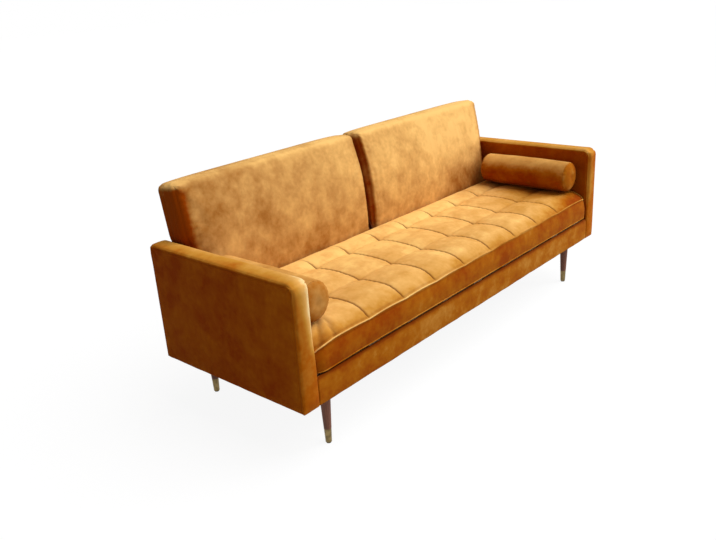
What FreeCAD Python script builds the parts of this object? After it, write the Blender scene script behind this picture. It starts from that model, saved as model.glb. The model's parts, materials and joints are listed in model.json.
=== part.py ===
"""Split-back sofa bed: tufted seat, two reclining backs, two slab arms, two bolsters, four tapered legs.

Millimetres. +X to the right as seen from the front, +Y to the rear, +Z up; floor at zero, box centred.
Left is -X. Each back leans on a hinge line just behind the seat and drops level with the seat.
"""
import FreeCAD
import Part
import Sketcher
import math
import os
from FreeCAD import Placement, Rotation, Vector

SIZES = (
    # whole object
    ("overall_width", "2060", "outside of arm to outside of arm"),
    ("overall_depth", "732", "front of arms to rear of leaning backs"),
    ("underside", "210", "floor to the lower edge of apron and arms"),
    ("fit_clearance", "0.3", "round screws, bolts and loose pieces"),
    ("pin_clearance", "0.05", "round pins that turn"),
    # base frame
    ("board_thickness", "22", "rails and blocks"),
    ("frame_lift", "4", "rails above the lower edge of the covers"),
    ("rail_top", "300", "height of the rails that carry the slats"),
    ("rear_rail_top", "322", "height of the rear rail, just under a lowered back"),
    ("centre_rail_width", "44", "short rail under the middle bracket"),
    ("slat_width", "60", "seat slats"),
    ("slat_thickness", "12", "seat slats"),
    ("slat_count", "9", "seat slats"),
    ("deck_felt", "5", "felt sheet on the slats"),
    ("dust_cloth", "1.2", "cloth under the base"),
    ("block_length", "110", "corner blocks along the rails"),
    ("block_depth", "85", "corner blocks front to rear"),
    # aprons
    ("apron_setback", "2", "front apron behind the arm fronts"),
    ("apron_padding", "14", "wadding and cover on the front rail"),
    ("apron_top", "311", "upper edge of the front apron"),
    ("apron_lip", "16", "cover turned under the front rail"),
    ("apron_edge", "6", "rounded edges of the aprons"),
    ("rear_apron_padding", "8", "wadding and cover on the rear rail"),
    # arms
    ("arm_thickness", "72", "slab arms"),
    ("arm_rear_setback", "12", "arm rears ahead of the rear of the leaning backs"),
    ("arm_top", "652", "height of the arms"),
    ("arm_corner", "28", "rounded top corners seen from the side"),
    ("arm_edge", "9", "soft edges round the side panels"),
    ("arm_side_padding", "6", "cover and wadding on the sides"),
    ("arm_top_padding", "12", "cover and wadding on top, front and rear"),
    ("arm_panel", "3", "thin panels on the arm frame"),
    ("arm_post", "50", "posts of the arm frame"),
    ("arm_top_rail", "40", "upper rail of the arm frame"),
    ("arm_low_rail", "60", "lower rail of the arm frame"),
    ("arm_bolt_radius", "4", "bolts through the end rails"),
    ("arm_bolt_length", "70", "bolts through the end rails"),
    ("arm_bolt_head", "7", "head radius"),
    # seat
    ("seat_setback", "2", "seat front behind the arm fronts"),
    ("seat_end_gap", "1.5", "seat to arm"),
    ("seat_rear_gap", "4", "seat to the back's lower front edge"),
    ("seat_edge_top", "412", "height of the front piping"),
    ("seat_roll", "10", "front piping behind the front face"),
    ("seat_crest", "457", "top of the tufts"),
    ("row_valley", "442", "stitch lines that run along the seat"),
    ("column_valley", "449", "stitch lines that run front to rear"),
    ("seat_end_top", "434", "top edge at the arms"),
    ("seat_rear_top", "428", "top edge at the backs"),
    ("seat_corner", "70", "front corners in plan"),
    ("seat_bulge", "6", "front face bows out"),
    ("tuft_columns", "9", "columns of tufts"),
    ("tuft_pitch", "194", "width of a middle column"),
    ("tuft_front", "222", "first stitch line behind the arm fronts"),
    ("tuft_row", "220", "depth of the second row"),
    ("seat_wall", "14", "cover and wadding round the filling"),
    ("seat_topping", "38", "cover and wadding over the filling"),
    ("seat_board", "12", "board under the filling"),
    # backs
    ("pivot_height", "412", "hinge line above the floor"),
    ("back_nose", "22", "hinge line to the front face and the lower edge"),
    ("back_thickness", "108", "without the crown"),
    ("back_height", "455", "hinge line to the top edge"),
    ("back_crown", "25", "front face bows out"),
    ("back_recline", "9", "lean at rest in degrees"),
    ("back_forward", "8", "travel forward in degrees"),
    ("back_lower", "81", "travel down to level in degrees"),
    ("back_top_edge", "18", "rounded top front edge"),
    ("back_rear_corner", "20", "rounded top rear edge"),
    ("back_low_corner", "12", "rounded lower rear edge"),
    ("back_side_round", "40", "rounded front edges at the ends"),
    ("back_wall", "10", "cover and wadding at the ends"),
    ("back_front_wall", "8", "cover and wadding under the crown"),
    ("back_rim", "3", "cover between the rounded rear edges and the rear panel"),
    ("back_filling", "34", "foam thickness"),
    ("back_closing", "8", "rear panel"),
    ("back_stile", "40", "stiles and rails of the frame"),
    ("back_slat_count", "4", "upright slats in each frame"),
    ("back_slat_thickness", "12", "upright slats"),
    ("back_slat_width", "50", "upright slats"),
    # hinges
    ("hinge_plate", "4", "steel plate"),
    ("hinge_washer", "1", "space between turning plates"),
    ("bracket_clearance", "2", "bracket to the arm cover"),
    ("yoke_half", "8", "half width of the middle yoke"),
    ("hinge_boss", "17", "plate radius round the pin"),
    ("hinge_pin_radius", "5", "hinge pins"),
    ("bracket_foot", "80", "foot of the brackets, front to rear"),
    ("arm_slant", "18", "hinge arms lean from the back's edge in degrees"),
    ("arm_half_width", "20", "half width of the hinge arms"),
    ("arm_reach", "195", "hinge arms, pin to upper end centre"),
    ("arm_screw_low", "95", "lower screw from the pin"),
    ("arm_screw_high", "175", "upper screw from the pin"),
    ("arm_screw_radius", "3", "hinge arm screws"),
    ("arm_screw_length", "44", "hinge arm screws"),
    ("quadrant_radius", "34", "notched quadrant"),
    ("quadrant_margin", "10", "quadrant past the outer notches in degrees"),
    ("notch_radius", "3.2", "notches in the quadrant"),
    ("catch_radius", "2.5", "nose of the pawl"),
    ("catch_lift", "0.4", "nose clear of the quadrant"),
    ("pawl_reach", "16", "pawl pin to nose"),
    ("pawl_hub", "5.5", "pawl round its pin"),
    ("pawl_bar", "5", "pawl bar"),
    ("pawl_pin_radius", "3", "pawl pins"),
    ("bracket_screw_radius", "2.2", "bracket screws"),
    ("bracket_screw_length", "30", "bracket screws"),
    # legs
    ("leg_inset", "162.5", "leg centre from the outside of the arm"),
    ("leg_front", "68", "front legs behind the arm fronts"),
    ("leg_rear", "48", "rear legs ahead of the arm rears"),
    ("leg_top_radius", "20", "leg at the plate"),
    ("leg_neck_radius", "13.4", "leg at the ferrule"),
    ("ferrule_top", "57", "upper edge of the brass ferrule"),
    ("ferrule_neck", "13.2", "ferrule at its upper edge"),
    ("ferrule_foot", "11.2", "ferrule at the floor end"),
    ("ferrule_wall", "1.2", "brass sheet"),
    ("ferrule_floor", "2", "closed end of the ferrule"),
    ("glide_height", "4", "nylon glide"),
    ("glide_radius", "9", "nylon glide"),
    ("plate_side", "64", "leg plates"),
    ("plate_thickness", "3", "leg plates"),
    ("socket_radius", "7", "threaded socket on the plate"),
    ("socket_height", "14", "threaded socket on the plate"),
    ("hanger_radius", "4", "hanger bolts"),
    ("hanger_depth", "30", "hanger bolts in the legs"),
    ("plate_screw_radius", "2", "plate screws"),
    ("plate_screw_length", "18", "plate screws"),
    ("plate_screw_spread", "24", "plate screws from the leg centre"),
    # bolsters
    ("bolster_radius", "76", "at the middle"),
    ("bolster_end_radius", "73", "at the ends"),
    ("bolster_rear_gap", "24", "rear tip ahead of the seat's rear edge"),
    ("bolster_setback", "46", "front tip behind the arm fronts"),
    ("bolster_dome", "13", "ends bow out"),
    ("bolster_round", "20", "rounded end seams"),
    ("bolster_cap", "8", "thickness of the end panels at the seam"),
)

doc = FreeCAD.newDocument("SofaBed")
sheet = doc.addObject("Spreadsheet::Sheet", "Sizes")
for row, (alias, number, note) in enumerate(SIZES, start=1):
    sheet.set(f"A{row}", alias)
    sheet.set(f"B{row}", number)
    sheet.setAlias(f"B{row}", alias)
    sheet.set(f"C{row}", note)
doc.recompute()


class Size:
    """A number together with the expression that gives it from the sheet."""

    def __init__(self, value, text):
        self.value = value
        self.text = text

    def __add__(self, other):
        other = as_size(other)
        return Size(self.value + other.value, f"({self.text} + {other.text})")

    def __sub__(self, other):
        other = as_size(other)
        return Size(self.value - other.value, f"({self.text} - {other.text})")

    def __mul__(self, other):
        other = as_size(other)
        return Size(self.value * other.value, f"({self.text} * {other.text})")

    def __truediv__(self, other):
        other = as_size(other)
        return Size(self.value / other.value, f"({self.text} / {other.text})")

    def __rmul__(self, other):
        return as_size(other) * self

    def __neg__(self):
        return Size(-self.value, f"(0 - {self.text})")


class Measures:
    """Reads the sheet by alias."""

    def __getattr__(self, alias):
        return Size(float(sheet.get(alias)), f"Sizes.{alias}")


def as_size(thing):
    """A Size for a plain number."""
    if isinstance(thing, Size):
        return thing
    return Size(float(thing), f"({thing})")


def sine(angle):
    """Sine of a Size in degrees."""
    return Size(math.sin(math.radians(angle.value)), f"sin({angle.text} * 1 deg)")


def cosine(angle):
    """Cosine of a Size in degrees."""
    return Size(math.cos(math.radians(angle.value)), f"cos({angle.text} * 1 deg)")


m = Measures()
nodes = {}

# shared places
half_width = m.overall_width / 2
arm_inner = half_width - m.arm_thickness
front = -(m.overall_depth / 2)
arm_rear = -front - m.arm_rear_setback
frame_bottom = m.underside + m.frame_lift
rail_front = front + m.apron_setback + m.apron_padding
rear_rail_back = arm_rear - m.rear_apron_padding
rear_rail_front = rear_rail_back - m.board_thickness
end_rail_inner = arm_inner - m.board_thickness
seat_bottom = m.rail_top + m.slat_thickness + m.deck_felt

# hinge line: the rear top edge of a leaning back ends at the overall depth
back_rear = m.back_thickness - m.back_nose
corner_up = m.back_height - m.back_rear_corner
corner_back = back_rear - m.back_rear_corner
corner_lean = corner_up * sine(m.back_recline) + corner_back * cosine(m.back_recline)
pivot_y = -front - corner_lean - m.back_rear_corner
pivot_z = m.pivot_height
seat_rear = pivot_y - m.back_nose - m.seat_rear_gap
deck_rear = seat_rear - m.seat_rear_gap
deck_front = deck_rear - m.board_thickness

# hinge planes from the arm inward and from the middle outward
bracket_outer = arm_inner - m.bracket_clearance
bracket_inner = bracket_outer - m.hinge_plate
outer_arm_face = bracket_inner - m.hinge_washer
back_outer = outer_arm_face - m.hinge_plate
inner_arm_face = m.yoke_half + m.hinge_washer
back_inner = inner_arm_face + m.hinge_plate

QUARTER_BOW = 1 - math.sqrt(0.5)
ALONG_X = Rotation(Vector(0, 1, 0), 90)
ALONG_Y = Rotation(Vector(1, 0, 0), -90)
UPRIGHT = Rotation()


def bind(thing, sizes):
    """Binds properties to expressions over the sheet."""
    for path, size in sizes.items():
        thing.setExpression(path, as_size(size).text)


def put(thing, x, y, z, turn=UPRIGHT):
    """Places a thing at bound coordinates."""
    thing.Placement = Placement(Vector(0, 0, 0), turn)
    bind(thing, {"Placement.Base.x": x, "Placement.Base.y": y, "Placement.Base.z": z})


def lean(thing, angle=None, x=0):
    """Leans a piece drawn from the hinge line, by the rest angle unless another is given."""
    angle = angle or m.back_recline
    thing.Placement = Placement(Vector(0, 0, 0), Rotation(Vector(-1, 0, 0), angle.value))
    bind(thing, {
        "Placement.Base.x": x,
        "Placement.Base.y": pivot_y,
        "Placement.Base.z": pivot_z,
        "Placement.Rotation.Angle": angle,
    })
    return thing


def node(name, thing):
    """Registers a finished sub-part."""
    thing.Label = name
    nodes[name] = thing
    return thing


def sided(sign, low, high):
    """A span across the sofa for the right side, turned over for the left."""
    if sign > 0:
        return low, high
    return -as_size(high), -as_size(low)


def board(name, x, y, z):
    """A plain board between two places on each axis."""
    x, y, z = [[as_size(end) for end in span] for span in (x, y, z)]
    box = doc.addObject("Part::Box", name)
    bind(box, {
        "Length": x[1] - x[0],
        "Width": y[1] - y[0],
        "Height": z[1] - z[0],
        "Placement.Base.x": x[0],
        "Placement.Base.y": y[0],
        "Placement.Base.z": z[0],
    })
    return box


def rod(name, radius, length, x, y, z, turn=UPRIGHT):
    """A round rod from a place, up or along the given turn."""
    round_bar = doc.addObject("Part::Cylinder", name)
    bind(round_bar, {"Radius": radius, "Height": length})
    put(round_bar, x, y, z, turn)
    return round_bar


def cross_rod(name, radius, span, y, z):
    """A rod across the sofa between two places."""
    low, high = [as_size(end) for end in span]
    return rod(name, radius, high - low, low, y, z, ALONG_X)


def group(name, things):
    """Several pieces of one kind as one sub-part."""
    bundle = doc.addObject("Part::Compound", name)
    bundle.Links = things
    return bundle


def join(name, things):
    """Pieces welded into one."""
    union = doc.addObject("Part::MultiFuse", name)
    union.Shapes = things
    union.Refine = True
    return union


def carve(name, base, tools):
    """A piece with other shapes taken out of it."""
    cut = doc.addObject("Part::Cut", name)
    cut.Base = base
    cut.Tool = tools[0] if len(tools) == 1 else group(f"{name}_tools", tools)
    return cut


def screw(name, span, head_radius, shank_radius, y, z, head_high):
    """A screw across the sofa; the head is the outer slice at the high or low end."""
    low, high = span
    head = m.hinge_plate * 0.6
    shank = cross_rod(f"{name}_shank", shank_radius, (low, high), y, z)
    cap_span = (high, high + head) if head_high else (low - head, low)
    cap = cross_rod(f"{name}_head", head_radius, cap_span, y, z)
    return join(name, [cap, shank])


def draw(sketch, outline, circles=()):
    """Draws a closed outline with every corner bound; a third value bows out the side that ends there."""
    corners = [[as_size(value) for value in corner] for corner in outline]
    points = [Vector(corner[0].value, corner[1].value, 0) for corner in corners]
    count = len(corners)
    for index in range(count):
        start, end = points[index - 1], points[index]
        if len(corners[index]) == 3:
            away = Vector(end.y - start.y, start.x - end.x, 0).normalize()
            middle = (start + end) * 0.5 + away * corners[index][2].value
            sketch.addGeometry(Part.Arc(start, middle, end), False)
        else:
            sketch.addGeometry(Part.LineSegment(start, end), False)
    ends = []
    for index, corner in enumerate(corners):
        chord = points[index] - points[index - 1]
        bow = corner[2].value if len(corner) == 3 else 0
        ends.append((1, 2) if bow <= 0 or chord.Length == 0 else arc_ends(sketch, index, points[index]))
    for index in range(count):
        after = (index + 1) % count
        joint = Sketcher.Constraint("Coincident", index, ends[index][1], after, ends[after][0])
        sketch.addConstraint(joint)
    for index, corner in enumerate(corners):
        end = ends[index][1]
        for kind, size in (("DistanceX", corner[0]), ("DistanceY", corner[1])):
            place = sketch.addConstraint(Sketcher.Constraint(kind, index, end, size.value))
            sketch.setExpression(f"Constraints[{place}]", size.text)
        if len(corner) == 3:
            before = corners[index - 1]
            across, rise, bow = corner[0] - before[0], corner[1] - before[1], corner[2]
            radius = ((across * across + rise * rise) / 4 + bow * bow) / (2 * bow)
            place = sketch.addConstraint(Sketcher.Constraint("Radius", index, radius.value))
            sketch.setExpression(f"Constraints[{place}]", radius.text)
    for across, up, radius in circles:
        across, up, radius = as_size(across), as_size(up), as_size(radius)
        circle = Part.Circle(Vector(across.value, up.value, 0), Vector(0, 0, 1), radius.value)
        index = sketch.addGeometry(circle, False)
        for kind, size in (("DistanceX", across), ("DistanceY", up)):
            place = sketch.addConstraint(Sketcher.Constraint(kind, index, 3, size.value))
            sketch.setExpression(f"Constraints[{place}]", size.text)
        place = sketch.addConstraint(Sketcher.Constraint("Radius", index, radius.value))
        sketch.setExpression(f"Constraints[{place}]", radius.text)


def arc_ends(sketch, index, end):
    """Which ends of a sketched arc are its first and last points."""
    if sketch.getPoint(index, 2).distanceToPoint(end) < 1e-6:
        return 1, 2
    return 2, 1


def sketch_in(body, plane_role, outline, circles=()):
    """A sketch on one of the body's own planes."""
    sketch = body.newObject("Sketcher::SketchObject", f"{body.Name}_outline")
    plane = [part for part in body.Origin.OriginFeatures if part.Role == plane_role][0]
    sketch.AttachmentSupport = [(plane, "")]
    sketch.MapMode = "FlatFace"
    draw(sketch, outline, circles)
    return sketch


def turned(name, outline):
    """A round piece: the outline is (radius, height) round the upright axis."""
    body = doc.addObject("PartDesign::Body", name)
    sketch = sketch_in(body, "XZ_Plane", outline)
    spin = body.newObject("PartDesign::Revolution", f"{name}_spin")
    spin.Profile = sketch
    spin.ReferenceAxis = (sketch, ["V_Axis"])
    spin.Angle = 360
    sketch.Visibility = False
    return body


def extruded(name, outline, length, circles=()):
    """A piece with a constant side outline of (y, z), extruded across the sofa."""
    body = doc.addObject("PartDesign::Body", name)
    sketch = sketch_in(body, "YZ_Plane", outline, circles)
    pad = body.newObject("PartDesign::Pad", f"{name}_pad")
    pad.Profile = sketch
    bind(pad, {"Length": length})
    sketch.Visibility = False
    return body


def planned(name, outline, z):
    """A piece with a constant plan of (x, y) between two heights."""
    body = doc.addObject("PartDesign::Body", name)
    sketch = sketch_in(body, "XY_Plane", outline)
    pad = body.newObject("PartDesign::Pad", f"{name}_pad")
    pad.Profile = sketch
    bind(pad, {"Length": z[1] - z[0]})
    sketch.Visibility = False
    put(body, 0, 0, z[0])
    return body


def soft(name, shape):
    """A soft form worked out in code."""
    feature = doc.addObject("Part::Feature", name)
    feature.Shape = shape
    return feature


# base frame
rail_z = (frame_bottom, m.rail_top)
rail_x = (-end_rail_inner, end_rail_inner)
front_rail_y = (rail_front, rail_front + m.board_thickness)
deck_y = (deck_front, deck_rear)
node("front_rail", board("front_rail", rail_x, front_rail_y, rail_z))
rear_rail_y = (rear_rail_front, rear_rail_back)
node("rear_rail", board("rear_rail", rail_x, rear_rail_y, (frame_bottom, m.rear_rail_top)))
node("deck_rail", board("deck_rail", rail_x, deck_y, rail_z))

slat_y = (rail_front, deck_rear)
slat_z = (m.rail_top, m.rail_top + m.slat_thickness)
slat_total = int(m.slat_count.value)
slat_room = 2 * (end_rail_inner - m.slat_width)
slats = []
for index in range(slat_total):
    middle = slat_room * (index / (slat_total - 1)) - slat_room / 2
    span = (middle - m.slat_width / 2, middle + m.slat_width / 2)
    slats.append(board(f"slat_{index}", span, slat_y, slat_z))
node("seat_slats", group("seat_slats", slats))

deck_x = end_rail_inner
node("deck_pad", board("deck_pad", (-deck_x, deck_x), slat_y, (slat_z[1], seat_bottom)))

# aprons with rounded outer edges
apron_x = arm_inner - m.fit_clearance
apron_front = front + m.apron_setback
edge_bow = m.apron_edge * QUARTER_BOW
apron_outline = [
    (apron_front, m.underside + m.apron_edge, edge_bow),
    (apron_front, m.apron_top - m.apron_edge),
    (apron_front + m.apron_edge, m.apron_top, edge_bow),
    (rail_front, m.apron_top),
    (rail_front, frame_bottom),
    (rail_front + m.apron_lip, frame_bottom),
    (rail_front + m.apron_lip, m.underside),
    (apron_front + m.apron_edge, m.underside),
]
apron = extruded("front_apron", apron_outline, 2 * apron_x)
put(apron, -apron_x, 0, 0)
node("front_apron", apron)

rear_outline = [
    (arm_rear, m.rear_rail_top - m.apron_edge, edge_bow),
    (arm_rear, m.underside + m.apron_edge),
    (arm_rear - m.apron_edge, m.underside, edge_bow),
    (rear_rail_back, m.underside),
    (rear_rail_back, m.rear_rail_top),
    (arm_rear - m.apron_edge, m.rear_rail_top),
]
rear_apron = extruded("rear_apron", rear_outline, 2 * apron_x)
put(rear_apron, -apron_x, 0, 0)
node("rear_apron", rear_apron)

# legs with ferrules, glides, plates and blocks
leg_top = frame_bottom - m.plate_thickness
ferrule_floor_top = m.glide_height + m.ferrule_floor
bore = m.hanger_radius + m.fit_clearance
spigot_low = m.ferrule_foot - m.ferrule_wall - m.fit_clearance
spigot_high = m.ferrule_neck - m.ferrule_wall - m.fit_clearance
leg_outline = [
    (0, ferrule_floor_top),
    (spigot_low, ferrule_floor_top),
    (spigot_high, m.ferrule_top),
    (m.leg_neck_radius, m.ferrule_top),
    (m.leg_top_radius, leg_top),
    (bore, leg_top),
    (bore, leg_top - m.hanger_depth),
    (0, leg_top - m.hanger_depth),
]
ferrule_outline = [
    (0, m.glide_height),
    (m.ferrule_foot, m.glide_height),
    (m.ferrule_neck, m.ferrule_top),
    (m.ferrule_neck - m.ferrule_wall, m.ferrule_top),
    (m.ferrule_foot - m.ferrule_wall, ferrule_floor_top),
    (0, ferrule_floor_top),
]
leg_x = half_width - m.leg_inset
leg_places = (
    ("front_left", -1, front + m.leg_front, front_rail_y[1], 1),
    ("front_right", 1, front + m.leg_front, front_rail_y[1], 1),
    ("rear_left", -1, arm_rear - m.leg_rear, rear_rail_front, -1),
    ("rear_right", 1, arm_rear - m.leg_rear, rear_rail_front, -1),
)
ferrules, glides, hangers, plates, plate_screws, blocks, cloth_cuts = [], [], [], [], [], [], []
screw_tip = frame_bottom - m.plate_thickness + m.plate_screw_length
for place, sign, y, rail_face, inward in leg_places:
    x = leg_x * sign
    leg = turned(f"leg_{place}", leg_outline)
    put(leg, x, y, 0)
    node(f"leg_{place}", leg)
    ferrule = turned(f"ferrule_{place}", ferrule_outline)
    put(ferrule, x, y, 0)
    ferrules.append(ferrule)
    glides.append(rod(f"glide_{place}", m.glide_radius, m.glide_height, x, y, 0))
    hanger_length = m.hanger_depth + m.plate_thickness + m.socket_height
    hangers.append(rod(f"hanger_{place}", m.hanger_radius, hanger_length, x, y, leg_top - m.hanger_depth))
    half_side = m.plate_side / 2
    flat = board(f"plate_{place}", (x - half_side, x + half_side), (y - half_side, y + half_side),
                 (leg_top, frame_bottom))
    socket = rod(f"socket_{place}", m.socket_radius, m.socket_height, x, y, frame_bottom)
    thread = rod(f"thread_{place}", bore, m.socket_height * 3, x, y, leg_top - m.socket_height)
    bores = []
    for across in (-1, 1):
        for deep in (-1, 1):
            tag = f"{place}_{across + 1}{deep + 1}"
            screw_x = x + m.plate_screw_spread * across
            screw_y = y + m.plate_screw_spread * deep
            shank = rod(f"shank_{tag}", m.plate_screw_radius, m.plate_screw_length, screw_x, screw_y, leg_top)
            head_z = leg_top - m.plate_screw_radius
            head = rod(f"head_{tag}", m.plate_screw_radius * 2, m.plate_screw_radius,
                       screw_x, screw_y, head_z)
            plate_screws.append(join(f"plate_screw_{tag}", [head, shank]))
            bores.append(rod(f"bore_{tag}", m.plate_screw_radius + m.fit_clearance,
                             m.plate_screw_length, screw_x, screw_y, leg_top))
    welded = join(f"plate_welded_{place}", [flat, socket])
    plates.append(carve(f"plate_cut_{place}", welded, [thread] + bores))
    block_x = sided(sign, end_rail_inner - m.block_length, end_rail_inner)
    block_y = (rail_face, rail_face + m.block_depth) if inward > 0 else (rail_face - m.block_depth, rail_face)
    block = board(f"block_{place}", block_x, block_y, (frame_bottom, frame_bottom + m.board_thickness))
    well = rod(f"well_{place}", m.socket_radius + m.fit_clearance, m.board_thickness, x, y, frame_bottom)
    blocks.append(carve(f"block_cut_{place}", block, [well] + bores))
    room = half_side + m.apron_lip / 4
    cloth_cuts.append(board(f"cloth_cut_{place}", (x - room, x + room), (y - room, y + room),
                            (m.underside, frame_bottom + m.dust_cloth)))
    if inward < 0:
        rear_bores = bores if place == "rear_left" else rear_bores + bores
rear_rail = carve("rear_rail_cut", nodes["rear_rail"], rear_bores)
nodes["rear_rail"].Label = "rear_rail_board"
node("rear_rail", rear_rail)
for name, pieces in (("ferrules", ferrules), ("glides", glides), ("hanger_bolts", hangers),
                     ("leg_plates", plates), ("plate_screws", plate_screws), ("corner_blocks", blocks)):
    node(name, group(name, pieces))

cloth_y = (rail_front + m.apron_lip + m.fit_clearance, rear_rail_back)
cloth = board("dust_sheet", (-apron_x, apron_x), cloth_y, (frame_bottom - m.dust_cloth, frame_bottom))
node("dust_cover", carve("dust_cover", cloth, cloth_cuts))

# arms: padded covers over post-and-rail frames, bolted to the end rails
arm_corner_bow = m.arm_corner * QUARTER_BOW
arm_outline = [
    (front, m.underside),
    (arm_rear, m.underside),
    (arm_rear, m.arm_top - m.arm_corner),
    (arm_rear - m.arm_corner, m.arm_top, arm_corner_bow),
    (front + m.arm_corner, m.arm_top),
    (front, m.arm_top - m.arm_corner, arm_corner_bow),
]
frame_top = m.arm_top - m.arm_top_padding
frame_y = (front + m.arm_top_padding, arm_rear - m.arm_top_padding)
low_rail_top = frame_bottom + m.arm_low_rail
top_rail_low = frame_top - m.arm_top_rail
bolt_z = m.rail_top - m.arm_bolt_head * 4
bolt_places = (0.2, 0.5, 0.82)
arm_bolts = []
end_rails = {}
for side, sign in (("left", -1), ("right", 1)):
    bolt_bores = []
    for index, share in enumerate(bolt_places):
        bolt_y = front + (arm_rear - front) * share
        span = sided(sign, end_rail_inner, end_rail_inner + m.arm_bolt_length)
        bolt = screw(f"{side}_bolt_{index}", span, m.arm_bolt_head, m.arm_bolt_radius,
                     bolt_y, bolt_z, sign < 0)
        arm_bolts.append(bolt)
        bolt_bores.append(cross_rod(f"{side}_bolt_bore_{index}", m.arm_bolt_radius + m.fit_clearance,
                                    span, bolt_y, bolt_z))
    end_x = sided(sign, end_rail_inner, arm_inner)
    end_board = board(f"{side}_end_board", end_x, (rail_front, rear_rail_back), rail_z)
    end_rails[side] = (end_board, bolt_bores)

    core = sided(sign, arm_inner + m.arm_side_padding, half_width - m.arm_side_padding)
    core_low, core_high = core
    inside = (core_low + m.arm_panel, core_high - m.arm_panel)
    middle_y = (frame_y[0] + frame_y[1]) / 2
    timbers = [
        board(f"{side}_arm_panel_low", (core_low, inside[0]), frame_y, (frame_bottom, frame_top)),
        board(f"{side}_arm_panel_high", (inside[1], core_high), frame_y, (frame_bottom, frame_top)),
        board(f"{side}_arm_low_rail", inside, frame_y, (frame_bottom, low_rail_top)),
        board(f"{side}_arm_top_rail", inside, frame_y, (top_rail_low, frame_top)),
    ]
    post_starts = (frame_y[0], middle_y - m.arm_post / 2, frame_y[1] - m.arm_post)
    for index, start in enumerate(post_starts):
        timbers.append(board(f"{side}_arm_post_{index}", inside, (start, start + m.arm_post),
                             (low_rail_top, top_rail_low)))
    timber = group(f"{side}_arm_timber", timbers)
    node(f"{side}_arm_frame", carve(f"{side}_arm_frame", timber, bolt_bores))

    cover = extruded(f"{side}_arm_form", arm_outline, m.arm_thickness)
    put(cover, arm_inner if sign > 0 else -half_width, 0, 0)
    doc.recompute()
    pad = cover.Tip
    rim = []
    for index, edge in enumerate(pad.Shape.Edges, start=1):
        box = edge.BoundBox
        flat_side = box.XMax - box.XMin < 1e-6
        if flat_side and box.ZMax > m.underside.value + 1:
            rim.append(f"Edge{index}")
    rounding = cover.newObject("PartDesign::Fillet", f"{side}_arm_rounding")
    rounding.Base = (pad, rim)
    bind(rounding, {"Radius": m.arm_edge})
    hollow_x = (m.arm_side_padding, m.arm_thickness - m.arm_side_padding)
    hollow_outline = [
        (hollow_x[0], frame_y[0]),
        (hollow_x[1], frame_y[0]),
        (hollow_x[1], frame_y[1]),
        (hollow_x[0], frame_y[1]),
    ]
    hollow_sketch = sketch_in(cover, "XY_Plane", hollow_outline)
    hollow = cover.newObject("PartDesign::Pocket", f"{side}_arm_hollow")
    hollow.Profile = hollow_sketch
    hollow.Reversed = True
    bind(hollow, {"Length": frame_top})
    node(f"{side}_arm_cover", carve(f"{side}_arm_cover", cover, bolt_bores))
node("arm_bolts", group("arm_bolts", arm_bolts))

# seat: board, filling and a cover tufted in rows and columns
seat_front = front + m.seat_setback
seat_half = arm_inner - m.seat_end_gap
fill_x = (-(seat_half - m.seat_wall), seat_half - m.seat_wall)
fill_y = (seat_front + m.seat_wall, seat_rear - m.seat_wall)
fill_top = m.row_valley - m.seat_topping
board_top = seat_bottom + m.seat_board
fill_turn = m.seat_corner - m.seat_wall
fill_bow = fill_turn * QUARTER_BOW
fill_plan = [
    (fill_x[0] + fill_turn, fill_y[0], fill_bow),
    (fill_x[1] - fill_turn, fill_y[0]),
    (fill_x[1], fill_y[0] + fill_turn, fill_bow),
    (fill_x[1], fill_y[1]),
    (fill_x[0], fill_y[1]),
    (fill_x[0], fill_y[0] + fill_turn),
]
node("seat_board", planned("seat_board", fill_plan, (seat_bottom, board_top)))
node("seat_foam", planned("seat_foam", fill_plan, (board_top, fill_top)))


def arc(start, middle, end):
    """An arc edge through three points."""
    return Part.Arc(Vector(*start), Vector(*middle), Vector(*end)).toShape()


def line(start, end):
    """A straight edge."""
    return Part.LineSegment(Vector(*start), Vector(*end)).toShape()


def face_of(edges):
    """A face inside a closed run of edges."""
    return Part.Face(Part.Wire(edges))


def round_fronted(half, near, far, turn, low, high):
    """A block with two round front corners in plan."""
    step = turn * QUARTER_BOW
    plan = [
        line((-half, far, low), (half, far, low)),
        line((half, far, low), (half, near + turn, low)),
        arc((half, near + turn, low), (half - step, near + step, low), (half - turn, near, low)),
        line((half - turn, near, low), (-half + turn, near, low)),
        arc((-half + turn, near, low), (-half + step, near + step, low), (-half, near + turn, low)),
        line((-half, near + turn, low), (-half, far, low)),
    ]
    return face_of(plan).extrude(Vector(0, 0, high - low))


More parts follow.
